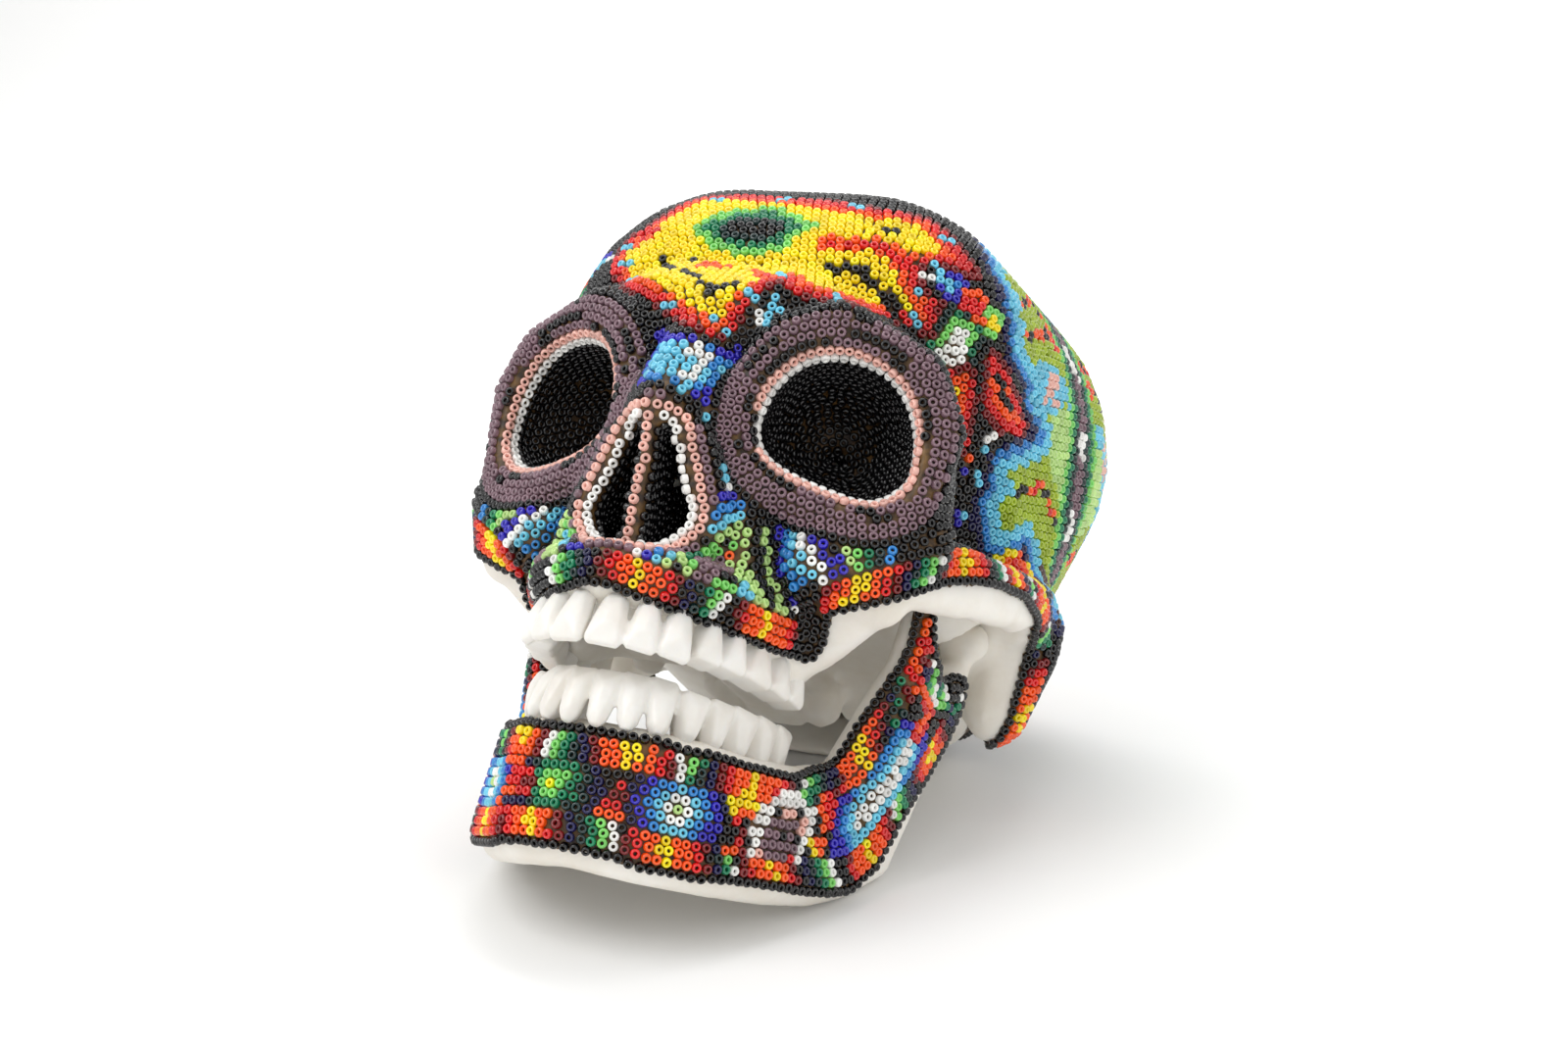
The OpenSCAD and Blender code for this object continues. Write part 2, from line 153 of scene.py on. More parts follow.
def cup_mesh(side):
    mouth, brow = round_the_axis(MOUTH), round_the_axis(BROW)
    middle = mouth.mean(0)
    rings = [brow + INWARD * 2.5]
    for share, lift in ((0.04, 0.0), (0.3, 1.3), (0.6, 1.9), (0.85, 1.5)):
        rings.append(brow + (mouth - brow) * share - INWARD * lift)
    for a in range(0, 90, 9):
        c, d = math.cos(math.radians(a)), math.sin(math.radians(a))
        rings.append(middle + (mouth - middle) * c + INWARD * (1.2 + CUP_DEEP * d))
    for a in range(81, -1, -9):
        c, d = math.cos(math.radians(a)), math.sin(math.radians(a))
        wide = 1 + CUP_WALL / 17
        rings.append(middle + (mouth - middle) * c * wide + INWARD * (4 + (CUP_DEEP + CUP_WALL) * d))
    verts = np.vstack(rings) * (side, 1, 1)
    n, m = len(rings), STATIONS
    faces = [(k * m + i, k * m + (i + 1) % m, (k + 1) % n * m + (i + 1) % m, (k + 1) % n * m + i)
             for k in range(n) for i in range(m)]
    if side < 0:
        faces = [f[::-1] for f in faces]
    return to_frame(verts), faces


def with_added(source, extra):
    """The source's mesh with more closed shells in it, ready for one remesh."""
    co = mesh_arrays(source)
    verts, faces = [tuple(p) for p in co], [tuple(f.vertices) for f in source.polygons]
    for more, more_faces in extra:
        base = len(verts)
        verts += [tuple(p) for p in more]
        faces += [tuple(base + v for v in f) for f in more_faces]
    made = bpy.data.meshes.new(source.name + "_joined")
    made.from_pydata(verts, [], faces)
    return made


cranium = remeshed("cranium_resin", with_added(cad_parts["cranium_casting"].data,
                                               [cup_mesh(1), cup_mesh(-1)]), 0.0013, 40)
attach(cranium, "cranium")
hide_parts("cranium_casting")


# ---- Jaw casting -------------------------------------------------------------------------
# The mandible, cast in the same resin and sanded like the cranium.

jaw = remeshed("jaw_resin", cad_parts["jaw_casting"].data.copy(), 0.0011, 45)
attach(jaw, "jaw")
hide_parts("jaw_casting")


# ---- Teeth -------------------------------------------------------------------------------
# Eight teeth a side above and below, cast in the same resin, their edges softened by sanding.

TOOTH_VOXEL = 0.00036
teeth = []
for node, body in (("upper_teeth", "cranium"), ("lower_teeth", "jaw")):
    row = remeshed(node + "_cast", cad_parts[node].data.copy(), TOOTH_VOXEL, 6)
    relax(row.data, [0.5] * 5)
    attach(row, body)
    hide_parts(node)
    teeth.append(row)


# ---- Laying beads ------------------------------------------------------------------------
# Size 11/0 glass seed beads, 2.2 mm across and 1.4 mm high, pressed one by one into a film of
# beeswax with a needle, hole outward, in rows that follow the edges of the bone and openings.
# All lengths here are in millimetres.

PITCH, ROW = 2.27, 1.98            # from bead to bead, and from row to row
CROWDED = 1.12 * PITCH             # nearer than this, beads push each other apart
PUSH_LOOSE, PUSH_DRAWN = 0.28, 0.45
FIELD_REACH, CUP_REACH = 2.0, 12.0   # from the resin to the field that owns it, and in a cup
BEAD_SEAT = 0.9                    # from the resin to the middle of the bead layer
FENCE_REACH = 8                    # a fence holds beads back this far from it


def in_socket(p):
    return abs(abs(p[0]) - 32) < 26 and abs(p[2] - 16) < 25 and -100 < p[1] < -48


class Skin:
    """A casting's surface in skull millimetres, and which bead field each of its faces is in."""

    def __init__(self, piece, on_jaw, fields):
        self.on_jaw = on_jaw
        mesh = piece.data
        self.points = to_skull(mesh_arrays(mesh), on_jaw)
        faces = [tuple(f.vertices) for f in mesh.polygons]
        self.tree = BVHTree.FromPolygons([Vector(p) for p in self.points], faces)
        normals = np.zeros(len(mesh.vertices) * 3, np.float32)
        mesh.vertices.foreach_get("normal", normals)
        ends = to_skull(mesh_arrays(mesh) + normals.reshape(-1, 3) * 0.001, on_jaw)
        self.out = ends - self.points
        self.corners = [list(f) for f in faces]
        self.names = list(fields)
        layer, owner, start = [], [], []
        for k, node in enumerate(fields):
            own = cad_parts[node].data
            base = len(start)
            start += [Vector(p) for p in to_skull(mesh_arrays(own), on_jaw)]
            layer += [tuple(base + v for v in f.vertices) for f in own.polygons]
            owner += [k] * len(own.polygons)
        beaded = BVHTree.FromPolygons(start, layer)
        self.field = np.full(len(faces), -1)
        for k, f in enumerate(self.corners):
            middle = Vector(self.points[f].mean(0) + self.out[f].mean(0) * BEAD_SEAT)
            reach = CUP_REACH if in_socket(middle) and not on_jaw else FIELD_REACH
            found = beaded.find_nearest(middle, reach)
            if found[2] is not None:
                self.field[k] = owner[found[2]]

    def drop(self, p):
        """The nearest point of the surface, its outward direction and its face."""
        spot, _, face, _ = self.tree.find_nearest(Vector(p))
        up = self.out[self.corners[face]].mean(0)
        inward = INWARD * (1 if p[0] > 0 else -1, 1, 1)
        if not self.on_jaw and up @ inward > 0.3 * np.linalg.norm(up) and in_socket(p):
            seen = self.tree.ray_cast(Vector(p - inward * 6), Vector(inward))
            if seen[0] is not None and (seen[0] - Vector(p)).length < 5:
                spot, face = seen[0], seen[2]
                up = self.out[self.corners[face]].mean(0)
        return np.array(spot), up / np.linalg.norm(up), face

    def shoot(self, start, way):
        """The first point of the surface from start on."""
        return np.array(self.tree.ray_cast(Vector(start), Vector(way))[0])


cranium_skin = Skin(cranium, False, [
    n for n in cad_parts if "bead" in n and "jaw" not in n or "socket_" in n
    or n == "nose_lining" or n.endswith("_band") or n.startswith("arch_band")])
jaw_skin = Skin(jaw, True, [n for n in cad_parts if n.startswith("jaw_") and "bead" in n])


class Beads:
    """The beads laid on one casting: where, which way each faces, and the row it belongs to."""

    def __init__(self, skin, inside):
        self.skin, self.inside = skin, inside
        self.at, self.up, self.row, self.cells = [], [], [], {}
        self.fence = None

    def put_fence(self, line, side, closed=False):
        """No bead is laid past this line; side is as for next_row, toward the beads."""
        before = np.roll(line, 1, 0) if closed else np.vstack([line[:1], line[:-1]])
        after = np.roll(line, -1, 0) if closed else np.vstack([line[1:], line[-1:]])
        ways = []
        for p, d in zip(line, after - before):
            ways.append(np.cross(self.skin.drop(p)[1], d / max(np.linalg.norm(d), 1e-9)) * side)
        self.fence = (np.array(line), np.array(ways))

    def allowed(self, spot, face):
        if self.skin.field[face] < 0 or not self.inside(spot):
            return False
        return self.past_fence(spot)

    def past_fence(self, spot):
        """True on the beaded side of the fence, or far from it."""
        if self.fence is None:
            return True
        gap = ((self.fence[0] - spot) ** 2).sum(1)
        k = int(gap.argmin())
        inside = float((spot - self.fence[0][k]) @ self.fence[1][k]) > 0.2
        return gap[k] > FENCE_REACH * FENCE_REACH or inside

    def cell(self, p):
        return tuple(int(math.floor(v / PITCH)) for v in p)

    def near(self, p, reach):
        cx, cy, cz = self.cell(p)
        for x in (cx - 1, cx, cx + 1):
            for y in (cy - 1, cy, cy + 1):
                for z in (cz - 1, cz, cz + 1):
                    for k in self.cells.get((x, y, z), ()):
                        q = self.at[k]
                        d = (q[0] - p[0]) ** 2 + (q[1] - p[1]) ** 2 + (q[2] - p[2]) ** 2
                        if d < reach * reach:
                            yield k

    def lay(self, p, up, row=None):
        self.at.append(p)
        self.up.append(up)
        self.row.append(row)
        self.cells.setdefault(self.cell(p), []).append(len(self.at) - 1)

    def lay_row(self, points, row, tight=0.84):
        """A row drawn beforehand: each bead that has room is laid, with its place in the row."""
        for k, p in enumerate(points):
            spot, up, _ = self.skin.drop(p)
            if not any(True for _ in self.near(spot, tight * PITCH)):
                self.lay(spot, up, (row, k, len(points)))

    def fill(self):
        """Lays beads one by one in the hollow between two neighbours, until the field is full."""
        k = 0
        while k < len(self.at):
            p, up = np.array(self.at[k]), np.array(self.up[k])
            beside = [np.array(self.at[j]) for j in self.near(p, 1.45 * PITCH) if j != k]
            for q in beside:
                half = (q - p) / 2
                length = float(np.linalg.norm(half))
                if length < 1e-6:
                    continue
                side = np.cross(up, half)
                side /= np.linalg.norm(side)
                rise = math.sqrt(max(PITCH * PITCH - length * length, 0.8))
                for way in (1, -1):
                    spot, out, face = self.skin.drop(p + half + side * rise * way)
                    if float(out @ up) < 0.2 or any(True for _ in self.near(spot, 0.9 * PITCH)):
                        continue
                    if self.allowed(spot, face):
                        self.lay(spot, out)
            k += 1

    def settle(self, rounds):
        """Pushes beads that crowd each other apart along the surface; drawn rows stay put."""
        fixed = np.array([r is not None for r in self.row])
        for _ in range(rounds):
            at = np.array(self.at)
            tree = KDTree(len(at))
            for k, p in enumerate(at):
                tree.insert(p, k)
            tree.balance()
            for k in np.where(~fixed)[0]:
                push = np.zeros(3)
                for q, j, d in tree.find_range(Vector(at[k]), CROWDED):
                    if 1e-6 < d:
                        share = PUSH_DRAWN if fixed[j] else PUSH_LOOSE
                        push += (at[k] - at[j]) / d * (CROWDED - d) * share
                spot, out, face = self.skin.drop(at[k] + push)
                if self.allowed(spot, face):
                    self.at[k], self.up[k] = spot, out
        self.index()

    def index(self):
        self.cells = {}
        for k, p in enumerate(self.at):
            self.cells.setdefault(self.cell(p), []).append(k)

    def press_in(self, room):
        """Lays one more bead wherever there's room for one."""
        for k in range(len(self.at)):
            p, up = self.at[k], self.up[k]
            side = np.cross(up, (0.3, 0.8, 0.52))
            side /= np.linalg.norm(side)
            other = np.cross(up, side)
            for a in range(12):
                way = side * math.cos(a * math.pi / 6) + other * math.sin(a * math.pi / 6)
                goal = p + way * PITCH * 0.95
                if any(True for _ in self.near(goal, room * PITCH * 0.93)):
                    continue
                spot, out, face = self.skin.drop(goal)
                if float(out @ up) < 0.2 or any(True for _ in self.near(spot, room * PITCH)):
                    continue
                if self.allowed(spot, face):
                    self.lay(spot, out)

    def cover(self):
        self.fill()
        for room in (0.8, 0.78):
            self.settle(4)
            self.press_in(room)
        self.settle(5)


def spaced(points, closed=False, gap=PITCH):
    """The same line with its points one bead apart."""
    p = np.asarray(points, float)
    if closed:
        p = np.vstack([p, p[:1]])
    run = np.r_[0, np.cumsum(np.linalg.norm(np.diff(p, axis=0), axis=1))]
    count = max(int(round(run[-1] / gap)), 2)
    where = np.linspace(0, run[-1], count + 1)
    line = np.stack([np.interp(where, run, p[:, k]) for k in range(3)], 1)
    return line[:-1] if closed else line


def on_skin(skin, points, closed=False):
    """A line of one-bead steps on the surface, through the given points."""
    line = spaced(points, closed)
    for _ in range(2):
        line = spaced([skin.drop(p)[0] for p in line], closed)
    return line


def next_row(skin, line, side, step, closed=False):
    """The row beside a row, a step away on the surface, on its left (1) or right (-1) from outside."""
    before = np.roll(line, 1, 0) if closed else np.vstack([line[:1], line[:-1]])
    after = np.roll(line, -1, 0) if closed else np.vstack([line[1:], line[-1:]])
    moved = []
    for p, d in zip(line, after - before):
        up = skin.drop(p)[1]
        way = np.cross(up, d / max(np.linalg.norm(d), 1e-9))
        moved.append(skin.drop(p + way * step * side)[0])
    moved = np.array(moved)
    if closed:
        moved = (np.roll(moved, 1, 0) + 2 * moved + np.roll(moved, -1, 0)) / 4
    return on_skin(skin, moved, closed)


def within(outline, a, b):
    """True if point (a, b) lies inside a flat outline."""
    hit = False
    j = len(outline) - 1
    for i, (ai, bi) in enumerate(outline):
        aj, bj = outline[j]
        if (bi > b) != (bj > b) and a < (aj - ai) * (b - bi) / (bj - bi) + ai:
            hit = not hit
        j = i
    return hit


# ---- Edge rows of the cranium ------------------------------------------------------------
# A row of black beads runs along the lip, round the corner of the mouth, under the cheek arch
# and down the mastoid; the fields stop at it.

EDGE_SIDE = [(-72, -26), (-72, -20), (-66, -13), (-57, -7), (-43, -2), (-16, 2), (-1, -1),
             (1, -9), (3, -20), (7, -30)]
BEADED_SIDE = ([(-130, -34), (-62, -34)] + EDGE_SIDE
               + [(16, -18), (18, -6), (36, -8), (110, -8), (110, 130), (-130, 130)])


def cranium_inside(p):
    return within(BEADED_SIDE, p[1], p[2]) and to_frame(p)[2] > 0.0012


LIP = [(0, -104, -33), (12, -98, -33), (20, -89, -33), (25, -80, -33), (29, -70, -32),
       (33, -63, -31), (37, -68, -27), (38, -73, -23), (42, -73, -21), (48, -71, -18),
       (54, -67, -13), (58, -60, -8), (62, -52, -4), (64, -43, -1), (66, -30, 2), (65, -16, 3),
       (61, -2, 0), (59, 1, -9), (57, 4, -18), (54, 8, -24), (50, 14, -19), (46, 17, -12)]
mirror = np.array([-1, 1, 1])
left_lip = np.array(LIP, float)
lip_line = np.vstack([(left_lip * mirror)[:0:-1], left_lip])

cranium_beads = Beads(cranium_skin, cranium_inside)
lip_row = on_skin(cranium_skin, lip_line)
cranium_beads.lay_row(lip_row, "edge")
cranium_beads.put_fence(lip_row, 1)
band = lip_row
for k in range(3):
    band = next_row(cranium_skin, band, 1, ROW)
    cranium_beads.lay_row(band, "band%d" % k)

# ---- Socket rings ------------------------------------------------------------------------
# Round each eye socket: a white row on the lip of the cup, a peach row, a mauve row with black
# dashes, three more mauve rows and a black one. Inside, the cup is lined with black beads.

for side in (1, -1):
    ring = on_skin(cranium_skin, (round_the_axis(MOUTH) - INWARD * 0.5) * (side, 1, 1), True)
    turned = np.cross(ring[1] - ring[0], ring.mean(0) - ring[0]) @ cranium_skin.drop(ring[0])[1]
    inward = 1 if turned > 0 else -1
    cranium_beads.lay_row(ring, "socket_white", 0.8)
    deeper = ring
    for _ in range(2):
        deeper = next_row(cranium_skin, deeper, inward, ROW, True)
        cranium_beads.lay_row(deeper, "socket_ink")
    for name in ("peach", "dash", "mauve", "mauve", "mauve", "ink"):
        ring = next_row(cranium_skin, ring, -inward, ROW, True)
        cranium_beads.lay_row(ring, "socket_" + name, 0.8)

# ---- Nose rows ---------------------------------------------------------------------------
# A white row round each nostril, a peach row down the middle bone and round both, and a mauve
# row outside it. Inside, the nose is lined with black beads.

NOSTRIL = [(3.2, 3, 2.4), (7.2, -14, 5.2), (5.2, -19, 4)]


def hull_ring(discs, out, steps=40):
    """Points round the tight outline of some discs (x, z, radius), a distance outside it."""
    made = []
    for a in np.linspace(0, 2 * math.pi, steps, endpoint=False):
        way = np.array([math.cos(a), math.sin(a)])
        reach = [np.dot(way, (x, z)) + r + out for x, z, r in discs]
        x, z, r = discs[int(np.argmax(reach))]
        made.append((x + (r + out) * way[0], z + (r + out) * way[1]))
    return made


def seen_from_front(ring):
    return [cranium_skin.shoot((x, -130, z), (0, 1, 0)) for x, z in ring]


septum = on_skin(cranium_skin, seen_from_front([(0, z) for z in (5, 0, -6, -12, -18, -22)]))
cranium_beads.lay_row(septum, "nose_peach")
for side in (1, -1):
    ring = seen_from_front([(x * side, z) for x, z in hull_ring(NOSTRIL, 0.5)])
    cranium_beads.lay_row(on_skin(cranium_skin, ring, True), "nose_white", 0.72)
BOTH_NOSTRILS = NOSTRIL + [(-x, z, r) for x, z, r in NOSTRIL]
ring = on_skin(cranium_skin, seen_from_front(hull_ring(BOTH_NOSTRILS, 2.4, 70)), True)
for name in ("peach", "mauve"):
    cranium_beads.lay_row(ring, "nose_" + name)
    ring = next_row(cranium_skin, ring, -1, ROW, True)

cranium_beads.cover()

# ---- Edge rows of the jaw ----------------------------------------------------------------
# A black row runs round the whole beaded side of the jaw: along the gum, up the front of the
# ramus, over the coronoid, down the back edge and along the foot, a few millimetres above it.

JAW_SIDE = [(-130, -57), (-80, -57), (-62, -54), (-50, -44), (-46, -34), (-45, -21), (-47, -8),
            (-49, 2), (-41, 2), (-38, -9), (-33, -13), (-18, -12), (-7, -13), (-7, -20),
            (-14, -34), (-22, -50), (-32, -66), (-42, -73), (-63, -78), (-84, -82), (-130, -82)]


def jaw_inside(p):
    return within(JAW_SIDE, p[1], p[2]) and to_frame(p, True)[2] > 0.0012


JAW_TOP = [(0, -97, -57.5), (11, -95, -57.5), (21, -87, -57), (27, -76, -56), (33, -62, -54),
           (37, -51, -46), (40, -46, -36), (44, -45, -26), (47, -45, -18), (48, -46, -8),
           (49, -45, -3)]
JAW_NOTCH = [(49, -42, -10), (50, -36, -16), (50, -28, -18), (50, -20, -15), (50, -14, -14)]
JAW_FOOT = [(49, -13, -20), (49, -16, -29), (48, -23, -41), (47, -30, -52), (46, -34, -64),
            (43, -40, -71), (41, -51, -75), (37, -63, -77), (30, -75, -79), (23, -84, -81),
            (12, -93, -81), (0, -96, -81)]
jaw_beads = Beads(jaw_skin, jaw_inside)
loop = np.array(JAW_TOP + JAW_NOTCH + JAW_FOOT, float)
jaw_loop = np.vstack([loop, (loop * mirror)[-2:0:-1]])
jaw_edge = on_skin(jaw_skin, jaw_loop, True)
jaw_beads.lay_row(jaw_edge, "edge")
jaw_beads.put_fence(jaw_edge, -1, True)
row = jaw_edge
for k in range(3):
    row = next_row(jaw_skin, row, -1, ROW, True)
    jaw_beads.lay_row(row, "band%d" % k)
jaw_beads.cover()

# ---- Bead colours ------------------------------------------------------------------------
# Opaque glass in the usual string colours. Each bead takes its colour from the figure that it
# falls in; the ground between the figures is black.

GLASS = {
    "ink": "#0c0b0d", "mauve": "#7f636d", "peach": "#efb9ab", "white": "#f3f2ee",
    "yellow": "#ffe205", "orange": "#ff5a12", "red": "#dd1a1c", "maroon": "#7c1216",
    "sky": "#6fcbe6", "blue": "#2f86cf", "royal": "#3026b4", "navy": "#17154a",
    "slate": "#16302f", "teal": "#138057", "green": "#7fd668", "pale": "#bde088",
    "olive": "#a3ba24", "brown": "#4a2a26",
}
NAMES = list(GLASS)


class Picture:
    """The colours of one casting's beads, painted figure by figure."""

    def __init__(self, beads):
        self.p = np.array(beads.at)
        self.rows = beads.row
        self.colour = np.zeros(len(self.p), int)

    def set(self, mask, name):
        self.colour[mask] = NAMES.index(name)

    def nest(self, depth, steps):
        """Bands of colour inward from a figure's outline: (distance in, colour)."""
        for start, name in steps:
            self.set(depth >= start, name)

    def line(self, points, reach, name):
        self.set(gap_to_line(self.p, points) < reach, name)

    def spots(self, points, names):
        """One bead at each point."""
        for q, name in zip(points, names):
            d = ((self.p - q) ** 2).sum(1)
            if d.min() < 9:
                self.colour[d.argmin()] = NAMES.index(name)


def gap_to_line(p, points):
    best = np.full(len(p), 1e9)
    pts = np.asarray(points, float)
    for a, b in zip(pts[:-1], pts[1:]):
        ab = b - a
        t = np.clip((p - a) @ ab / (ab @ ab), 0, 1)
        best = np.minimum(best, np.linalg.norm(p - a - t[:, None] * ab, axis=1))
    return best


def depth_flat(q, outline):
    """Distance inside (+) or outside (-) a flat outline, for each point of q."""
    o = np.asarray(outline, float)
    hit = np.zeros(len(q), bool)
    best = np.full(len(q), 1e9)
    for a, b in zip(np.roll(o, 1, 0), o):
        ab = b - a
        t = np.clip((q - a) @ ab / max(ab @ ab, 1e-9), 0, 1)
        best = np.minimum(best, np.linalg.norm(q - a - t[:, None] * ab, axis=1))
        over = (a[1] > q[:, 1]) != (b[1] > q[:, 1])
        if a[1] != b[1]:
            hit ^= over & (q[:, 0] < (b[0] - a[0]) * (q[:, 1] - a[1]) / (b[1] - a[1]) + a[0])
    return np.where(hit, best, -best)


def depth_in(p, outline, reach=9):
    """The same for an outline of points in space, laid in its own best plane."""
    o = np.asarray(outline, float)
    middle = o.mean(0)
    axes = np.linalg.svd(o - middle)[2]
    q = (p - middle) @ axes.T
    depth = depth_flat(q[:, :2], (o - middle) @ axes[:2].T)
    return np.where(abs(q[:, 2]) < reach, depth, -99)


BAND_ROWS = ["band0", "band1", "band2"]
FIRST_SIDE = 26   # mm from the middle to where the mirrored side of a band starts
BAND_WIDE = 3.3 * ROW
RED_BLOCK = ["maroon", "red", "orange", "orange", "yellow",
             "yellow", "orange", "orange", "red", "maroon"]
GREEN_BLOCK = ["navy", "slate", "teal", "green", "white"]


def block_colour(kind, share, middle_row):
    """The colour at a share of the way along a block."""
    if kind < 0:
        share, kind = 1 - share, -kind
    strip = RED_BLOCK if kind == 1 else GREEN_BLOCK
    name = strip[min(int(share * len(strip)), len(strip) - 1)]
    if name == "yellow" and not middle_row and share > 0.54:
        name = "orange"
    return name


def paint_band(picture, blocks, place_of, rows):
    """Blocks (from, to, kind) in mm along the rows of an edge band; past the middle, mirrored."""
    for k, row in enumerate(picture.rows):
        if row is None or row[0] not in rows:
            continue
        place = place_of(row)
        if place <= -FIRST_SIDE:
            place = -place
        picture.colour[k] = 0
        for start, end, kind in blocks:
            if start <= place <= end:
                share = (place - start) / (end - start)
                picture.colour[k] = NAMES.index(block_colour(kind, share, row[0] == rows[1]))


def join_band(picture, line, rows, reach):
    """A bead pressed in between the rows of a band takes the colour of the nearest row bead."""
    drawn = [k for k, row in enumerate(picture.rows) if row is not None and row[0] in rows]
    loose = [k for k, row in enumerate(picture.rows) if row is None]
    for k in loose:
        if ((line - picture.p[k]) ** 2).sum(1).min() < reach * reach:
            gaps = ((picture.p[drawn] - picture.p[k]) ** 2).sum(1)
            picture.colour[k] = picture.colour[drawn[int(gaps.argmin())]]


# ---- Cranium figures ---------------------------------------------------------------------
# Two birds of fire share the forehead round a dark lozenge; each temple has a leaf and a
# diamond, each side a feathered figure that is the same before and behind a dark upright band.

top = Picture(cranium_beads)
P = top.p
M = np.c_[abs(P[:, 0]), P[:, 1:]]

FIRE = [(0, "maroon"), (1.1, "red"), (3.0, "orange"), (4.7, "yellow")]
BIRDS = [(15, -91, 46), (12, -92, 42), (10, -93, 37), (9, -92, 32), (5, -95, 28), (1, -97, 29),
         (-9, -93, 35), (-17, -91, 40), (-25, -87, 43), (-37, -75, 54), (-38, -75, 57),
         (-38, -73, 63), (-34, -74, 67), (-30, -73, 72), (-27, -69, 78), (-22, -67, 81),
         (-12, -68, 82), (3, -70, 81), (13, -69, 80), (23, -71, 78), (30, -66, 80),
         (35, -61, 80), (41, -61, 76), (45, -59, 72), (48, -60, 67), (45, -65, 65),
         (41, -69, 64), (38, -73, 61), (40, -72, 59), (42, -71, 57), (45, -69, 55),
         (45, -69, 51), (45, -69, 47), (42, -71, 46), (38, -74, 46), (35, -81, 44),
         (31, -88, 43), (27, -87, 44), (23, -89, 43), (18, -90, 43), (16, -91, 44)]


def front_depth(p, outline):
    return np.where(p[:, 1] < -50, depth_flat(p[:, [0, 2]], [(o[0], o[-1]) for o in outline]), -99)


birds = front_depth(P, BIRDS)
top.nest(birds, FIRE)
FLAMES = [[(18, -79, 63), (30, -76, 65), (38, -73, 61)],
          [(-9, -84, 54), (1, -86, 54), (10, -88, 49)], [(-28, -76, 66), (-34, -74, 60)]]
for flame in FLAMES:
    near = gap_to_line(P, flame)
    top.set((near < 2.2) & (birds > 4), "orange")
    top.set((near < 1.0) & (birds > 0), "red")
lozenge = front_depth(P, [(-16, 66), (-10, 72), (0, 74), (12, 68), (6, 60.5), (-7, 59.5)])
top.nest(lozenge, [(-1.4, "green"), (0.9, "teal"), (2.9, "slate"), (4.4, "ink")])
for hook in ([(-21, -81, 56), (-20, -82, 53), (1, -94, 41), (4, -92, 44)],
             [(20, -81, 56), (28, -79, 57), (36, -76, 50), (37, -75, 48)],
             [(-13, -83, 55), (-10, -83, 55)], [(29, -73, 71), (30.5, -73, 71)]):
    top.line(hook, 1.25, "ink")
PAIRS = [(12, -87, 49), (9, -93, 41), (4, -95, 33), (-11, -93, 38), (-29, -81, 50),
         (-33, -77, 57), (-35, -74, 63), (-19, -71, 78), (-2, -70, 79), (18, -71, 77),
         (38, -65, 75), (40, -70, 64), (39, -74, 56), (40, -73, 49), (26, -86, 46)]
for q in PAIRS:
    top.spots([q, (q[0] + 2.1, q[1] + 0.6, q[2] - 0.6)], ["sky", "sky"])
top.spots([(15, -91, 41), (16, -91, 39), (15, -91, 36), (14, -92, 38), (13, -92, 35)],
          ["sky", "sky", "sky", "white", "white"])

# The star over the nose bridge
BRIDGE = [
    ("sky", [(15, -91.5, 40.6), (16, -91.2, 38.2), (15.1, -91.3, 36.2)]),
    ("white", [(13.4, -91.9, 37.6), (13.3, -91.7, 35.4)]),
    ("sky", [(14.6, -93.9, -2.3), (14.9, -93.5, -2.7)]),
    ("white", [(15.5, -93.1, -4.3), (14.6, -90.7, -3.6)]),
    ("royal", [(-10.2, -91.7, 31.9), (-0.8, -98.9, 25.1)]),
    ("sky", [(-3.7, -97.9, 24.7), (0.6, -99.2, 24.7)]), ("royal", [(7.9, -92.5, 27), (8.5, -90.8, 29.1)]),
    ("sky", [(8.1, -97.7, 10.5), (9.2, -96.4, 9.8)]), ("white", [(9.1, -96, 8.5), (9.3, -95.5, 8.4)]),
    ("royal", [(16.3, -94.4, -9.9), (17.8, -89.2, -5)]),
    ("blue", [(16.8, -94.1, -12.1), (18.4, -88.9, -7.4)]),
    ("sky", [(16.4, -94.1, -15.7), (18.3, -88.9, -9.5)]),
    ("royal", [(6.4, -99.8, 11.8), (8.4, -96.5, 15.2), (8.2, -95.6, 18.6)]),
    ("blue", [(5.2, -100.9, 12.6), (7.6, -96.4, 18.1), (7.9, -94.1, 23.9)]),
    ("sky", [(4.1, -102, 12.7), (5.9, -98.7, 16.8), (8, -94.7, 21.7)]),
    ("white", [(2.7, -98.9, 23.1), (5.8, -96.9, 22.2)]), ("white", [(3.5, -98.1, 24.3), (5, -98, 21.5)]),
    ("white", [(3.5, -102, 14.8), (4.7, -99.7, 17.6)]),
]


def stroke(picture, p, strokes, reach=1.7):
    """Each bead near a stroke takes the colour of the nearest one."""
    gaps = np.stack([gap_to_line(p, points) for _, points in strokes], 1)
    nearest, best = gaps.argmin(1), gaps.min(1)
    for k, (name, _) in enumerate(strokes):
        picture.set((nearest == k) & (best < reach), name)


star = depth_in(P, [(-9, -93, 32), (-1, -98, 27), (3, -98, 27), (7, -95, 27), (11, -91, 31),
                    (9, -94, 24), (9, -96, 18), (9, -98, 13), (7, -99, 12), (3, -103, 12),
                    (-3, -103, 12), (-7, -98, 13), (-8, -96, 20), (-8, -94, 25)], 8)
top.nest(star, [(0, "royal"), (1.2, "blue"), (2.6, "sky")])
stroke(top, P, BRIDGE, 1.3)

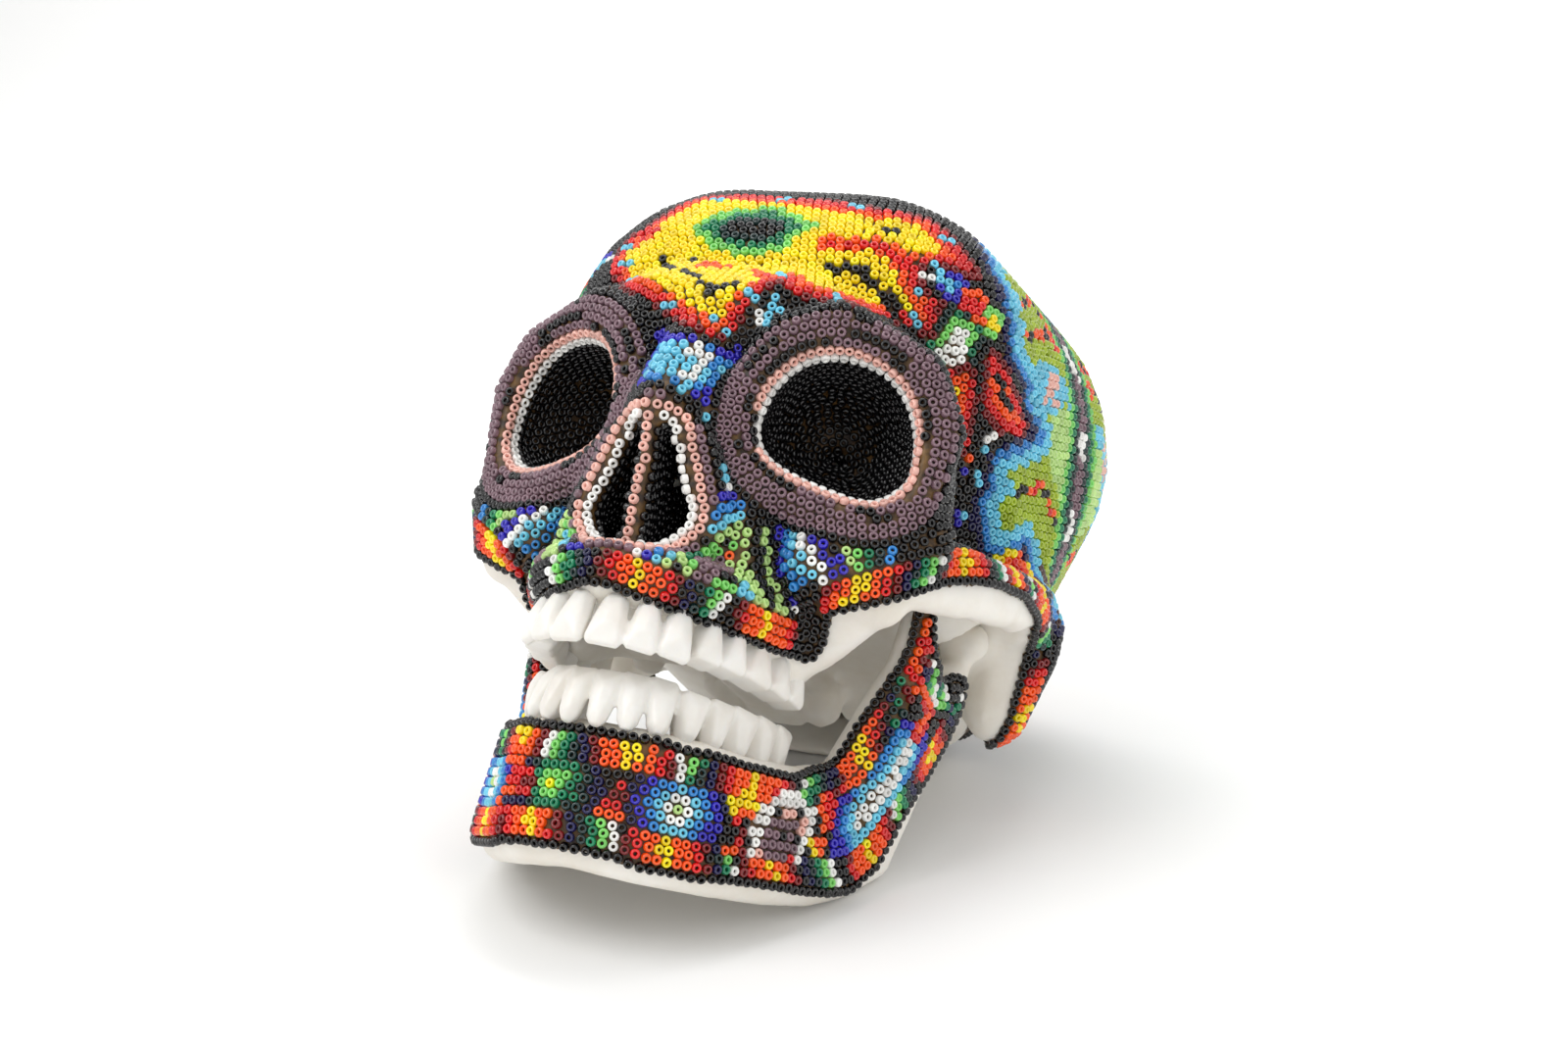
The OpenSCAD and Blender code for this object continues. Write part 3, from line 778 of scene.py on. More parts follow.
# The temples
for outline, steps in (
        ([(40, -72, 62), (47, -63, 65), (46, -68, 55)], [(0, "royal"), (1.4, "blue")]),
        ([(47, -65, 63), (50, -60, 63), (53, -58, 57), (50, -64, 53), (46, -68, 55)],
         [(0, "orange"), (1.8, "red")]),
        ([(46, -68, 56), (52, -60, 55), (54, -62, 44), (52, -74, 34), (50, -78, 33), (47, -74, 42)],
         [(0, "slate"), (0.8, "teal"), (2.0, "green"), (3.2, "white")]),
        ([(51, -60, 61), (53, -54, 61), (54, -56, 54), (52, -61, 54)],
         [(0, "green"), (1.2, "yellow")]),
        ([(50, -64, 43), (53, -60, 46), (55, -50, 29), (53, -52, 25), (55, -77, 24), (53, -74, 33)],
         [(0, "maroon"), (1.2, "red"), (2.6, "orange"), (4.0, "yellow")]),
        ([(53, -58, 52), (56, -51, 50), (58, -43, 46), (59, -34, 43), (59, -36, 38),
          (56, -46, 36), (54, -54, 38), (53, -58, 43)],
         [(0, "maroon"), (1.6, "red"), (3.4, "orange")])):
    top.nest(depth_in(M, outline, 7), steps)
top.set(gap_to_line(M, [(40, -72, 61), (43, -70, 61)]) < 1.5, "white")
top.set(gap_to_line(M, [(44, -69, 61), (45, -68, 59)]) < 1.6, "sky")
top.set(gap_to_line(M, [(55, -53, 46), (57, -50, 43), (57, -46, 42)]) < 1.1, "ink")
for side in (1, -1):
    for q, names in (((54, -48, 33), ("white", "white", "sky")),
                     ((53, -45, 25), ("sky", "white", "sky")),
                     ((51, -50, 27), ("yellow", "orange", "royal")),
                     ((50, -43, 16), ("royal", "sky", "royal"))):
        top.spots([(q[0] * side, q[1], q[2]), (q[0] * side, q[1] + 2, q[2] + 0.5),
                   (q[0] * side, q[1] + 0.8, q[2] - 1.8)], names)

# The feathered figure of the sides, drawn on its front half and mirrored behind the band
def band_y(z):
    return -9 + (60 - z) * 0.35


side_on = (abs(P[:, 0]) > 40) & (P[:, 2] > 7) & (P[:, 1] > -60)
middle_y = band_y(P[:, 2])
behind = P[:, 1] > middle_y
Q = np.stack([np.where(behind, 2 * middle_y - P[:, 1], P[:, 1]), P[:, 2]], 1)
STEPS = [(-49, 73), (-42, 72), (-48, 65), (-43, 63.5), (-47, 57), (-41, 56), (-36, 58),
         (-35, 51), (-25, 49), (-22, 42), (-37, 30), (-31, 28), (-35, 22), (-30, 18),
         (-20, 26), (-9, 20), (-3, 15), (30, 15), (30, 88), (-30, 84), (-44, 80)]
figure = depth_flat(Q, STEPS)
figure[~side_on] = -99
top.nest(figure, [(-7.6, "navy"), (-5.6, "blue"), (-3.6, "sky"), (0, "olive")])
meadow = depth_flat(Q, [(-26, 57), (-12, 56), (-2, 50), (-2, 34), (-8, 34), (-22, 42), (-25, 50)])
top.set((meadow > 0) & side_on, "pale")
pond = depth_flat(Q, [(-37, 60), (-25, 64), (-8, 58), (-8, 54), (-20, 57), (-26, 50), (-35, 50)])
top.set((pond > 0) & side_on, "sky")


def side_line(points, reach):
    flat = np.c_[np.zeros(len(Q)), Q]
    return (gap_to_line(flat, [(0, y, z) for y, z in points]) < reach) & side_on


for comb in ([(-31, 61), (-29, 56), (-31, 52)], [(-29, 58.5), (-25, 60)], [(-29, 55), (-24, 55)]):
    top.set(side_line(comb, 1.2), "peach")
for stripe in ([(-42, 71), (-32, 78), (-17, 71)], [(-43, 62), (-27, 72), (-14, 65)],
               [(-31, 27.5), (-20, 35), (-8, 30)]):
    on = side_line(stripe, 1.15)
    step = (np.floor((Q[:, 0] + 60) / 2.2).astype(int)) % 5
    top.set(on, "orange")
    top.set(on & (step == 1), "red")
    top.set(on & ((step == 3) | (step == 4)), "ink")
offset = abs(P[:, 1] - middle_y)
inside_band = side_on & (P[:, 2] > 21) & (P[:, 2] < 84) & (figure > -1)
for reach, name in ((8.6, "green"), (6.6, "teal"), (4.4, "slate"), (2.3, "mauve")):
    top.set(inside_band & (offset < reach), name)
lit = ((P[:, 2] + 8) % 19) < 7
top.set(inside_band & (offset < 2.3) & lit, "white")
for twig in ([(-12, 19), (0, 17), (12, 18)], [(-5, 18), (-7, 12)], [(0, 17), (1, 10)]):
    flat = np.c_[np.zeros(len(P)), P[:, 1], P[:, 2]]
    top.set((gap_to_line(flat, [(0, y + 3, z) for y, z in twig]) < 1.2) & side_on, "brown")
ember = depth_flat(Q, [(-28, 12), (-21, 19), (-12, 15), (-14, 9), (-24, 8)])
ember[~(side_on | (abs(P[:, 0]) > 40))] = -99
top.nest(ember, [(0, "yellow"), (1.6, "orange"), (3.0, "red")])

# The crown: an eight-petalled flower, and the back: a star of the same make
def petals(x, y, size, deep, count):
    r, a = np.hypot(x, y), np.arctan2(y, x)
    return size + deep * np.cos(count * a) - r


crown = petals(P[:, 0], P[:, 1] + 6, 31, 6, 8)
crown[P[:, 2] < 80] = -99
top.nest(crown, [(0, "navy"), (2.1, "royal"), (4.2, "blue"), (6.4, "sky"), (8.6, "white"),
                 (12, "ink"), (14, "maroon"), (16, "red"), (18.2, "orange"), (21, "yellow"),
                 (27, "teal")])
back = petals(P[:, 0], P[:, 2] - 44, 27, 5, 8)
back[P[:, 1] < 50] = -99
top.nest(back, [(0, "maroon"), (2.1, "red"), (4.4, "orange"), (7, "yellow"), (11, "ink"),
                (13, "navy"), (15, "blue"), (17.4, "sky"), (20.5, "white"), (24, "peach")])
ring_dots = []
for k in range(24):
    a = k * math.pi / 12
    x, y = 46 * math.cos(a), 46 * math.sin(a) - 6
    if abs(x) < 44:
        ring_dots.append((k, (x, y, 200), (0, 0, -1)))
    x, z = 38 * math.cos(a), 38 * math.sin(a) + 44
    if 6 < z < 80:
        ring_dots.append((k, (x, 200, z), (0, -1, 0)))
for k, start, way in ring_dots:
    spot = cranium_skin.shoot(start, way)
    if spot.shape == (3,):
        near = np.linalg.norm(P - spot, axis=1) < 2.3
        top.set(near & (top.colour == 0), ("green", "sky", "orange")[k % 3])

# Cheeks and lip: chevrons of maize and slanting stripes
CHEEK = [
    ("mauve", [(15.5, -95.6, -24), (18.3, -88.4, -21.1)]),
    ("mauve", [(17.2, -97.9, -26.8), (20.1, -89.8, -23.5)]),
    ("mauve", [(17.8, -97.9, -28.8), (21.3, -93.6, -26.8)]),
    ("pale", [(-13.2, -102, -28.3), (-22, -86.9, -19.4)]),
    ("sky", [(-12.5, -101.5, -26.8), (-19.3, -88.1, -19)]),
    ("royal", [(-8.1, -104.1, -29), (-7.6, -102.6, -26.2)]),
    ("white", [(-4.7, -105.1, -29.9), (-4.8, -103.7, -26.7)]),
    ("sky", [(-2.9, -105.6, -30), (-1.6, -104.3, -26.6)]),
    ("blue", [(0, -106.5, -30.6), (1.1, -106.2, -28.9)]),
    ("sky", [(2, -105.9, -30.1), (3.4, -105.5, -28.6)]),
    ("white", [(-2.1, -105.6, -33.6), (0.2, -106.5, -32), (6, -104.2, -27.5)]),
    ("royal", [(3.7, -105.4, -31.4), (6.6, -104.6, -28.7), (8.1, -103.3, -27)]),
    ("blue", [(6.7, -104.5, -31.3), (9.5, -103.6, -28.3), (10.5, -101.4, -25.9)]),
    ("sky", [(8.7, -103.9, -31.9), (11.2, -102.9, -28.9), (12.3, -100.7, -26.1)]),
    ("pale", [(11.4, -102.8, -31.7), (13.2, -102, -29.2), (13.9, -99, -25.7)]),
    ("ink", [(13.1, -102.1, -31.5), (14.2, -101.2, -29.8), (15.1, -100.4, -27.9)]),
    ("pale", [(14.9, -100.6, -30.9), (16.4, -99.2, -29), (16.6, -98.9, -28.3)]),
    ("green", [(11.5, -95.7, -22.2), (13, -95.2, -20), (14.9, -93.8, -20.3)]),
    ("teal", [(15.5, -97.4, -25.4), (14.8, -92.5, -21.8)]),
    ("green", [(15.5, -98.9, -26.6), (17, -97.5, -26.4)]),
    ("pale", [(16.5, -92.5, -17.5), (18, -90.8, -14.8), (19, -88.5, -13)]),
    ("green", [(16.1, -91.7, -19.3), (18.2, -88.6, -18.5), (20.6, -87.7, -15.7)]),
    ("red", [(18.8, -88.2, -20.9), (20.4, -87.6, -19.3)]),
    ("orange", [(19.8, -87.9, -18.9), (20.8, -87.5, -17.7)]),
    ("pale", [(20.7, -87.4, -21.5), (22.6, -86.6, -22.1), (22.7, -87, -24)]),
    ("pale", [(20.9, -87.5, -12.7), (22.5, -86.6, -18.6), (24.5, -85.1, -24.7), (27.2, -81.8, -28.2)]),
    ("ink", [(22.2, -85.6, -11.6), (24.2, -82.7, -21.4), (27.8, -80.3, -28.1)]),
    ("pale", [(23.1, -83.4, -11.2), (23.9, -80.3, -17.4), (26.7, -77.7, -21.3), (29.1, -76.4, -27.4)]),
    ("ink", [(23.6, -80.6, -9.2), (25.4, -79.1, -16.7), (28.2, -76.6, -19.4), (29.7, -73.9, -25.2)]),
    ("royal", [(25, -79.4, -8.5), (27.5, -77.3, -16.8), (30.4, -74.1, -21)]),
    ("blue", [(26.6, -78.1, -8.3), (30.6, -81, -16.9), (32.8, -79.8, -19.1)]),
    ("sky", [(27.8, -77, -7.7), (32.6, -81.8, -15.9), (35.4, -80.4, -18.5)]),
    ("white", [(30.9, -79.2, -8.4), (35.8, -81.6, -14.9), (38.8, -80.3, -17.2)]),
    ("royal", [(34.1, -80.9, -9.4), (37.3, -81, -12.7), (40.5, -79.6, -15.5)]),
    ("sky", [(23.2, -90.5, -30.1), (24.2, -88.8, -31)]),
    ("sky", [(24.7, -88, -26.5), (25.5, -86.3, -28.6), (26.5, -83.8, -28.3)]),
    ("green", [(18.3, -97.4, -31.1), (20, -95.8, -29.1), (23, -90.8, -28)]),
    ("red", [(21.1, -93.9, -29.5), (21.6, -93.1, -31.4)]),
    ("pale", [(40.5, -79.6, -11.1), (43.2, -78.4, -13.2)]),
    ("green", [(43.2, -78.4, -10.8), (44.9, -77.6, -12.7)]),
    ("teal", [(46.3, -77, -9.9), (46.8, -76.8, -12.1)]),
    ("slate", [(47.9, -76.2, -9.3), (48.4, -76, -11.6)]),
    ("blue", [(49.7, -75.4, -8.2), (50.2, -75.2, -10.7)]),
    ("white", [(30.8, -72, -23), (30.3, -72, -25.5), (33.3, -69.8, -25.3)]),
    ("green", [(30.7, -69.7, -26.8), (33.8, -68.2, -27)]),
    ("teal", [(31, -68.1, -27.8), (33.6, -66.7, -28.4)]),
    ("slate", [(31.1, -67.2, -29.5), (34, -65.6, -29.1)]),
    ("navy", [(30.2, -66.7, -31.2), (33.7, -63, -31.3)]),
]
# Strokes further out than the first are repeated on the right; those nearer than the second
# cross the middle and are laid as they are.
MIRROR_FROM, MIDDLE_TO = 10, 14
stroke(top, M, [line for line in CHEEK if line[1][0][0] > MIRROR_FROM])
stroke(top, P, [line for line in CHEEK if line[1][0][0] <= MIDDLE_TO])

# Edge bands, and the rings round the sockets and the nose
CRANIUM_BLOCKS = [
    (-14, -2, -2), (0, 18, 1), (18.5, 29, 2), (31, 51, 1), (63, 83, 1), (83.5, 93, 2),
    (95, 112, 1), (112.5, 120, 2), (120.5, 131, 1), (131.5, 138, 2), (139, 156, 1),
    (157, 166, -2), (167, 196, 1)]


def from_middle(row):
    """Millimetres from the middle of the lip along the row, less than nothing on the right."""
    _, k, count = row
    return (k - (count - 1) / 2) * PITCH


paint_band(top, CRANIUM_BLOCKS, from_middle, BAND_ROWS)
for k, row in enumerate(top.rows):
    if row is None:
        continue
    name = row[0].split("_")[-1]
    if name == "dash":
        name = "ink" if row[1] % 9 < 2 else "mauve"
    if row[0] == "edge":
        name = "ink"
    if name in GLASS:
        top.colour[k] = NAMES.index(name)

join_band(top, lip_row, BAND_ROWS, BAND_WIDE)

# ---- Jaw figures -------------------------------------------------------------------------
# Flowers, an oval, hourglasses and a little window between two bands of blocks, and a long
# blue lozenge with a red arrow on each ramus.

low = Picture(jaw_beads)
J = low.p
JM = np.c_[abs(J[:, 0]), J[:, 1:]]


def flower(centre, rings, mirrored=True):
    d = np.linalg.norm((JM if mirrored else J) - centre, axis=1)
    for reach, name in rings:
        low.set(d < reach, name)


low.set(depth_in(JM, [(46, -42, -33), (48, -35, -29), (50, -27, -33), (49, -26, -41),
                      (47, -36, -56), (45, -39, -65), (41, -50, -68), (39, -51, -60),
                      (42, -46, -47)], 6) > 0, "royal")
spine = gap_to_line(JM, [(48, -37, -38), (43, -43, -58)])
for reach, name in ((7.4, "royal"), (5.6, "blue"), (4.0, "sky"), (2.0, "white")):
    low.set(spine < reach, name)
for reach, name in ((2.6, "red"), (1.3, "orange")):
    low.set(gap_to_line(JM, [(49, -37, -23), (49, -31, -27), (48, -34, -33)]) < reach, name)
flower((-3, -97, -69), ((11, "navy"), (8.2, "slate"), (6.0, "teal"), (3.6, "green"),
                        (1.3, "yellow")), False)
flower((21.5, -88, -69.5), ((11, "navy"), (9.4, "royal"), (7.2, "blue"), (5.2, "sky"),
                            (3.2, "white"), (1.2, "pale")))
loop_length = len(jaw_edge) * PITCH


def jaw_place(row):
    """Millimetres from the chin's middle along the loop, on either side."""
    _, k, count = row
    share = k / count
    return (share if share < 0.5 else share - 1) * loop_length


END = loop_length / 2
JAW_BLOCKS = [
    (-22, -9, 1), (-7.5, 3, -2), (3.5, 22, 1), (23, 32, -2), (32.5, 54.5, 1), (56.5, 71, -2),
    (73, 92, 1), (94, 103, 2), (104, 118, 1), (124, 134, 2), (136, 148, 2), (152, 160, -2),
    (163, 181, 1), (183, 193, 2), (195, 214, 1), (218, 230, -2), (232, 250, 1), (251, 257, -2),
    (258, 278, 1), (279.5, 291, -2)]
paint_band(low, JAW_BLOCKS, jaw_place, BAND_ROWS)
for k, row in enumerate(low.rows):   # one red block lies across the join of the loop
    if row is not None and row[0] in BAND_ROWS:
        place = jaw_place(row)
        if abs(place) > END - 1.5 or place < -END + 17:
            share = (place + END + 1.5) / 18 if place < 0 else (place - END + 1.5) / 18
            low.colour[k] = NAMES.index(block_colour(1, max(share, 0), row[0] == BAND_ROWS[1]))
CHIN = [
    ("orange", [(-15.7, -93.1, -64.9), (-12.3, -94.8, -65.2)]),
    ("red", [(-14.2, -93.9, -66.6), (-13.5, -94, -69.3)]),
    ("orange", [(-14, -93.8, -70.7), (-16, -92.8, -73)]),
    ("red", [(10.3, -95.3, -67.7), (10.5, -95.2, -68.2)]),
    ("maroon", [(9.2, -95.5, -69.8), (11.3, -94.9, -69.9)]),
    ("red", [(9.8, -95.2, -71.5), (10.1, -95.1, -71.8)]),
    ("orange", [(8.4, -95.5, -73.4), (11.1, -94.7, -73.7)]),
    ("yellow", [(28.2, -78.1, -64.3), (30.7, -72.7, -62.8)]),
    ("orange", [(29.1, -76.6, -65.7), (30.4, -74.1, -65.2)]),
    ("red", [(29.4, -76.2, -67.5), (30.1, -75.1, -68.5)]),
    ("maroon", [(30.3, -75, -69.3), (30, -75.7, -70.4)]),
    ("red", [(30, -75.8, -71.5), (30.2, -75.4, -71.9)]),
    ("orange", [(29.3, -77.2, -73.6), (30.2, -75.7, -73.7)]),
    ("mauve", [(33, -68.6, -65.3), (35.5, -61.2, -62.5)]),
    ("mauve", [(33.4, -68.4, -66.9), (36, -61, -64.7)]),
    ("mauve", [(33.5, -68.9, -69.2), (36.3, -61.5, -67.6)]),
    ("mauve", [(34.3, -67.9, -71.4), (35.7, -64.4, -70.6)]),
    ("ink", [(34.7, -65.4, -67.1), (35.4, -64.2, -68.4)]),
    ("peach", [(33.9, -64.8, -61.4), (35.1, -61.4, -60.3)]),
    ("peach", [(32.7, -69.7, -66.8), (33.1, -68, -64)]),
    ("peach", [(32.7, -70.6, -70.4), (33.2, -69.9, -72.3)]),
    ("peach", [(36.3, -58.9, -61.8), (36.2, -60.2, -64.4)]),
    ("white", [(32.1, -72, -73), (31.8, -71.8, -67.4), (32.3, -68.9, -61.9), (33.3, -65.4, -59.1),
                   (35.2, -60, -57.9), (36.8, -56.3, -59.3), (37.1, -57.8, -64.3), (37.1, -59.2, -66.9),
                   (37.1, -60.5, -70)]),
    ("red", [(38.4, -51.1, -54.5), (38.7, -51.1, -57.1), (38.8, -51.5, -59.5)]),
    ("orange", [(37.4, -53.2, -55), (38.5, -52.7, -61.6), (39.1, -53.4, -66.8)]),
    ("yellow", [(37.8, -56.1, -64.9), (38.4, -55.8, -67.5)]),
]
join_band(low, jaw_edge, BAND_ROWS, BAND_WIDE)
for points, keep in ((JM, lambda x: x > 9), (J, lambda x: x <= 9)):
    stroke(low, points, [line for line in CHIN if keep(line[1][0][0])], 1.35)
for spot, name in (((49, -39, -19), "navy"), ((49, -41, -16), "maroon"), ((49, -42, -13), "red"),
                   ((49, -43.5, -10), "orange"), ((49, -44.5, -7), "yellow")):
    low.set(np.linalg.norm(JM - spot, axis=1) < 2.6, name)
for k, row in enumerate(low.rows):
    if row is not None and row[0] == "edge":
        low.colour[k] = 0

# ---- Bead glass --------------------------------------------------------------------------
# Drawn glass cane, cut and tumbled hot: a round shoulder, a small hole, a hard wet gloss.


def linear(code):
    """An sRGB hex colour as linear RGBA."""
    parts = [int(code[i:i + 2], 16) / 255 for i in (1, 3, 5)]
    return tuple(c / 12.92 if c <= 0.04045 else ((c + 0.055) / 1.055) ** 2.4 for c in parts) + (1,)


def add_node(material, kind, settings=None, **inputs):
    """Adds a shader node; an input is a value or another node's output."""
    node = material.node_tree.nodes.new("ShaderNode" + kind)
    for name, value in (settings or {}).items():
        setattr(node, name, value)
    for name, value in inputs.items():
        socket = node.inputs[name.replace("_", " ")]
        if isinstance(value, bpy.types.NodeSocket):
            material.node_tree.links.new(value, socket)
        else:
            socket.default_value = value
    return node


def new_material(name):
    material = bpy.data.materials.new(name)
    material.use_nodes = True
    return material, material.node_tree.nodes["Principled BSDF"]


def bead_glass(name, colour, tint):
    """Opaque glass; a tint of it for the beads of another string."""
    material, shader = new_material(name)
    shade = linear(colour)
    shader.inputs["Base Color"].default_value = tuple(min(c * tint, 1) for c in shade[:3]) + (1,)
    shader.inputs["Roughness"].default_value = 0.2
    shader.inputs["IOR"].default_value = 1.52
    shader.inputs["Coat Weight"].default_value = 0.35
    shader.inputs["Coat Roughness"].default_value = 0.06
    coords = add_node(material, "TexCoord").outputs["Object"]
    skin = add_node(material, "TexNoise", Vector=coords, Scale=1500.0, Detail=2.0)
    bump = add_node(material, "Bump", Height=skin.outputs["Fac"], Strength=0.12, Distance=0.0001)
    material.node_tree.links.new(bump.outputs["Normal"], shader.inputs["Normal"])
    return material


TINTS = [1.0, 0.86, 1.13]
glass = [bead_glass("glass_%s_%d" % (name, k + 1), GLASS[name], tint)
         for name in NAMES for k, tint in enumerate(TINTS)]

# The bead's outline from the hole round the shoulder: distance from its axis, and height
PROFILE = [(0.40, -0.15), (0.46, 0.55), (0.78, 0.78), (1.09, 0.28), (1.04, -0.6)]
SIDES = 12
angles = np.linspace(0, 2 * math.pi, SIDES, endpoint=False)
bead_points = np.array([(r * math.cos(a), r * math.sin(a), h) for r, h in PROFILE for a in angles])
bead_faces = np.array([(k * SIDES + i, k * SIDES + (i + 1) % SIDES,
                        (k + 1) * SIDES + (i + 1) % SIDES, (k + 1) * SIDES + i)
                       for k in range(len(PROFILE) - 1) for i in range(SIDES)])[:, ::-1]
REST = 0.95                        # from the resin to the middle of a bead
TILT, SIZE_SPREAD = 0.06, 0.025    # how unevenly beads lie, and how unlike they are in size
TINT_SHARES = [0.6, 0.2, 0.2]
MOST_BEADS = 2050                  # a bigger field is strung in two pieces
rng = np.random.default_rng(5)


def string_beads(name, spots, ups, colours, on_jaw, body, node):
    """One piece: all the beads of a field, a slot for each colour of glass in it."""
    n = len(spots)
    up = ups + rng.normal(0, TILT, (n, 3))
    up /= np.linalg.norm(up, axis=1)[:, None]
    side = np.cross(up, rng.normal(0, 1, (n, 3)))
    side /= np.linalg.norm(side, axis=1)[:, None]
    other = np.cross(up, side)
    size = 1 + rng.normal(0, SIZE_SPREAD, n)
    local = bead_points[None] * size[:, None, None]
    co = (spots[:, None] + up[:, None] * REST + local[..., 0:1] * side[:, None]
          + local[..., 1:2] * other[:, None] + local[..., 2:3] * up[:, None])
    co = to_frame(co.reshape(-1, 3), on_jaw)
    faces = (bead_faces[None] + (np.arange(n) * len(bead_points))[:, None, None]).reshape(-1, 4)
    mesh = bpy.data.meshes.new(name)
    mesh.vertices.add(len(co))
    mesh.vertices.foreach_set("co", co.astype(np.float32).ravel())
    mesh.loops.add(faces.size)
    mesh.loops.foreach_set("vertex_index", faces.astype(np.int32).ravel())
    mesh.polygons.add(len(faces))
    mesh.polygons.foreach_set("loop_start", np.arange(0, faces.size, 4, dtype=np.int32))
    colours = colours * len(TINTS) + rng.choice(len(TINTS), n, p=TINT_SHARES)
    used = sorted(set(colours))
    for c in used:
        mesh.materials.append(glass[c])
    index = np.repeat([used.index(c) for c in colours], len(bead_faces)).astype(np.int32)
    mesh.polygons.foreach_set("material_index", index)
    mesh.polygons.foreach_set("use_smooth", np.ones(len(faces), bool))
    mesh.update(calc_edges=True)
    piece = add_piece(name, mesh)
    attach(piece, body)
    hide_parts(node)


def bead_pieces(beads, picture, body):
    skin = beads.skin
    spots, ups = np.array(beads.at), np.array(beads.up)
    owner = np.zeros(len(spots), int)
    for k, p in enumerate(spots):
        owner[k] = skin.field[skin.drop(p)[2]]
    lost = np.where(owner < 0)[0]
    for k in lost:
        d = ((spots - spots[k]) ** 2).sum(1)
        d[lost] = 1e9
        owner[k] = owner[d.argmin()]
    for f, node in enumerate(skin.names):
        mine = np.where(owner == f)[0]
        parts = [mine]
        if len(mine) > MOST_BEADS:
            left = spots[mine, 0] > 0 if "crown" in node or "back" in node else spots[mine, 2] > 50
            parts = [mine[left], mine[~left]]
        for tag, part in zip(("a", "b"), parts):
            if len(part):
                string_beads("%s_%s" % (node, tag), spots[part], ups[part],
                             picture.colour[part], skin.on_jaw, body, node)


bead_pieces(cranium_beads, top, "cranium")
bead_pieces(jaw_beads, low, "jaw")

# ---- Beeswax -----------------------------------------------------------------------------
# The film the beads stand in: less than half a millimetre of beeswax, rubbed on warm. Its
# colour is darkened past the wax's own brown as painted shade for the gaps between the beads;
# it shows dark brown there and as a thin line where it ends.

WAX_THICK, WAX_REACH = 0.4, 1.5
wax_painted_shade, shader = new_material("beeswax_satin_painted_shade")
coords = add_node(wax_painted_shade, "TexCoord").outputs["Object"]
clouds = add_node(wax_painted_shade, "TexNoise", Vector=coords, Scale=450.0, Detail=4.0)
# The ramp's dark browns are painted shade for the gaps between the beads, over the wax's own mottling.
tone = add_node(wax_painted_shade, "ValToRGB", Fac=clouds.outputs["Fac"])
tone.color_ramp.elements[0].color, tone.color_ramp.elements[0].position = linear("#2c1d10"), 0.35
tone.color_ramp.elements[1].color, tone.color_ramp.elements[1].position = linear("#7d5b2c"), 0.8
wax_painted_shade.node_tree.links.new(tone.outputs["Color"], shader.inputs["Base Color"])
shader.inputs["Roughness"].default_value = 0.45
shader.inputs["IOR"].default_value = 1.44
smears = add_node(wax_painted_shade, "Bump", Height=clouds.outputs["Fac"], Strength=0.25, Distance=0.0002)
wax_painted_shade.node_tree.links.new(smears.outputs["Normal"], shader.inputs["Normal"])


def wax_film(name, beads, source, body):
    """The resin's faces under and just beside the beads, lifted by the film's thickness."""
    tree = KDTree(len(beads.at))
    for k, p in enumerate(beads.at):
        tree.insert(p, k)
    tree.balance()
    skin = beads.skin
    gaps = np.array([tree.find(Vector(p))[2] for p in skin.points])
    near = gaps < WAX_REACH
    for k in np.where((gaps >= WAX_REACH) & (gaps < 2 * WAX_REACH))[0]:
        near[k] = skin.out[k] @ beads.up[tree.find(Vector(skin.points[k]))[1]] > 0 and \
            beads.past_fence(skin.points[k])
    kept = [f for f in skin.corners if near[f].all()]
    used = sorted({v for f in kept for v in f})
    place = {v: k for k, v in enumerate(used)}
    lifted = skin.points[used] + skin.out[used] * WAX_THICK
    mesh = bpy.data.meshes.new(name)
    mesh.from_pydata([tuple(p) for p in to_frame(lifted, skin.on_jaw)], [],
                     [tuple(place[v] for v in f) for f in kept])
    mesh.polygons.foreach_set("use_smooth", np.ones(len(mesh.polygons), bool))
    mesh.materials.append(wax_painted_shade)
    film = add_piece(name, mesh)
    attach(film, body)
    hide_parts(source)


wax_film("cranium_wax", cranium_beads, "forehead_beadwork", "cranium")
wax_film("jaw_wax", jaw_beads, "jaw_front_beadwork", "jaw")

# ---- Resin finish ------------------------------------------------------------------------
# White casting resin, wet-sanded: a chalky satin with faint mottling, a fine grain and shallow
# dents; the teeth are rubbed a little smoother.


def resin_finish(name, light, shade, roughness):
    material, shader = new_material(name)
    coords = add_node(material, "TexCoord").outputs["Object"]
    mottle = add_node(material, "TexNoise", Vector=coords, Scale=55.0, Detail=6.0, Roughness=0.6)
    tone = add_node(material, "ValToRGB", Fac=mottle.outputs["Fac"])
    tone.color_ramp.elements[0].color, tone.color_ramp.elements[0].position = linear(shade), 0.32
    tone.color_ramp.elements[1].color, tone.color_ramp.elements[1].position = linear(light), 0.62
    material.node_tree.links.new(tone.outputs["Color"], shader.inputs["Base Color"])
    grain = add_node(material, "TexNoise", Vector=coords, Scale=900.0, Detail=5.0)
    dents = add_node(material, "TexNoise", Vector=coords, Scale=140.0, Detail=3.0)
    low_bump = add_node(material, "Bump", Height=dents.outputs["Fac"], Strength=0.35, Distance=0.0006)
    fine = add_node(material, "Bump", Height=grain.outputs["Fac"], Strength=0.2, Distance=0.0001,
                    Normal=low_bump.outputs["Normal"])
    material.node_tree.links.new(fine.outputs["Normal"], shader.inputs["Normal"])
    shader.inputs["Roughness"].default_value = roughness
    shader.inputs["IOR"].default_value = 1.5
    shader.inputs["Subsurface Weight"].default_value = 0.12
    shader.inputs["Subsurface Radius"].default_value = (0.004, 0.003, 0.002)
    shader.inputs["Subsurface Scale"].default_value = 0.6
    return material


bone = resin_finish("sanded_resin", "#f1ede5", "#e3dccf", 0.5)
enamel = resin_finish("rubbed_resin", "#f3f1ec", "#e6e1d8", 0.36)
for piece, finish in ((cranium, bone), (jaw, bone), (teeth[0], enamel), (teeth[1], enamel)):
    piece.data.materials.clear()
    piece.data.materials.append(finish)
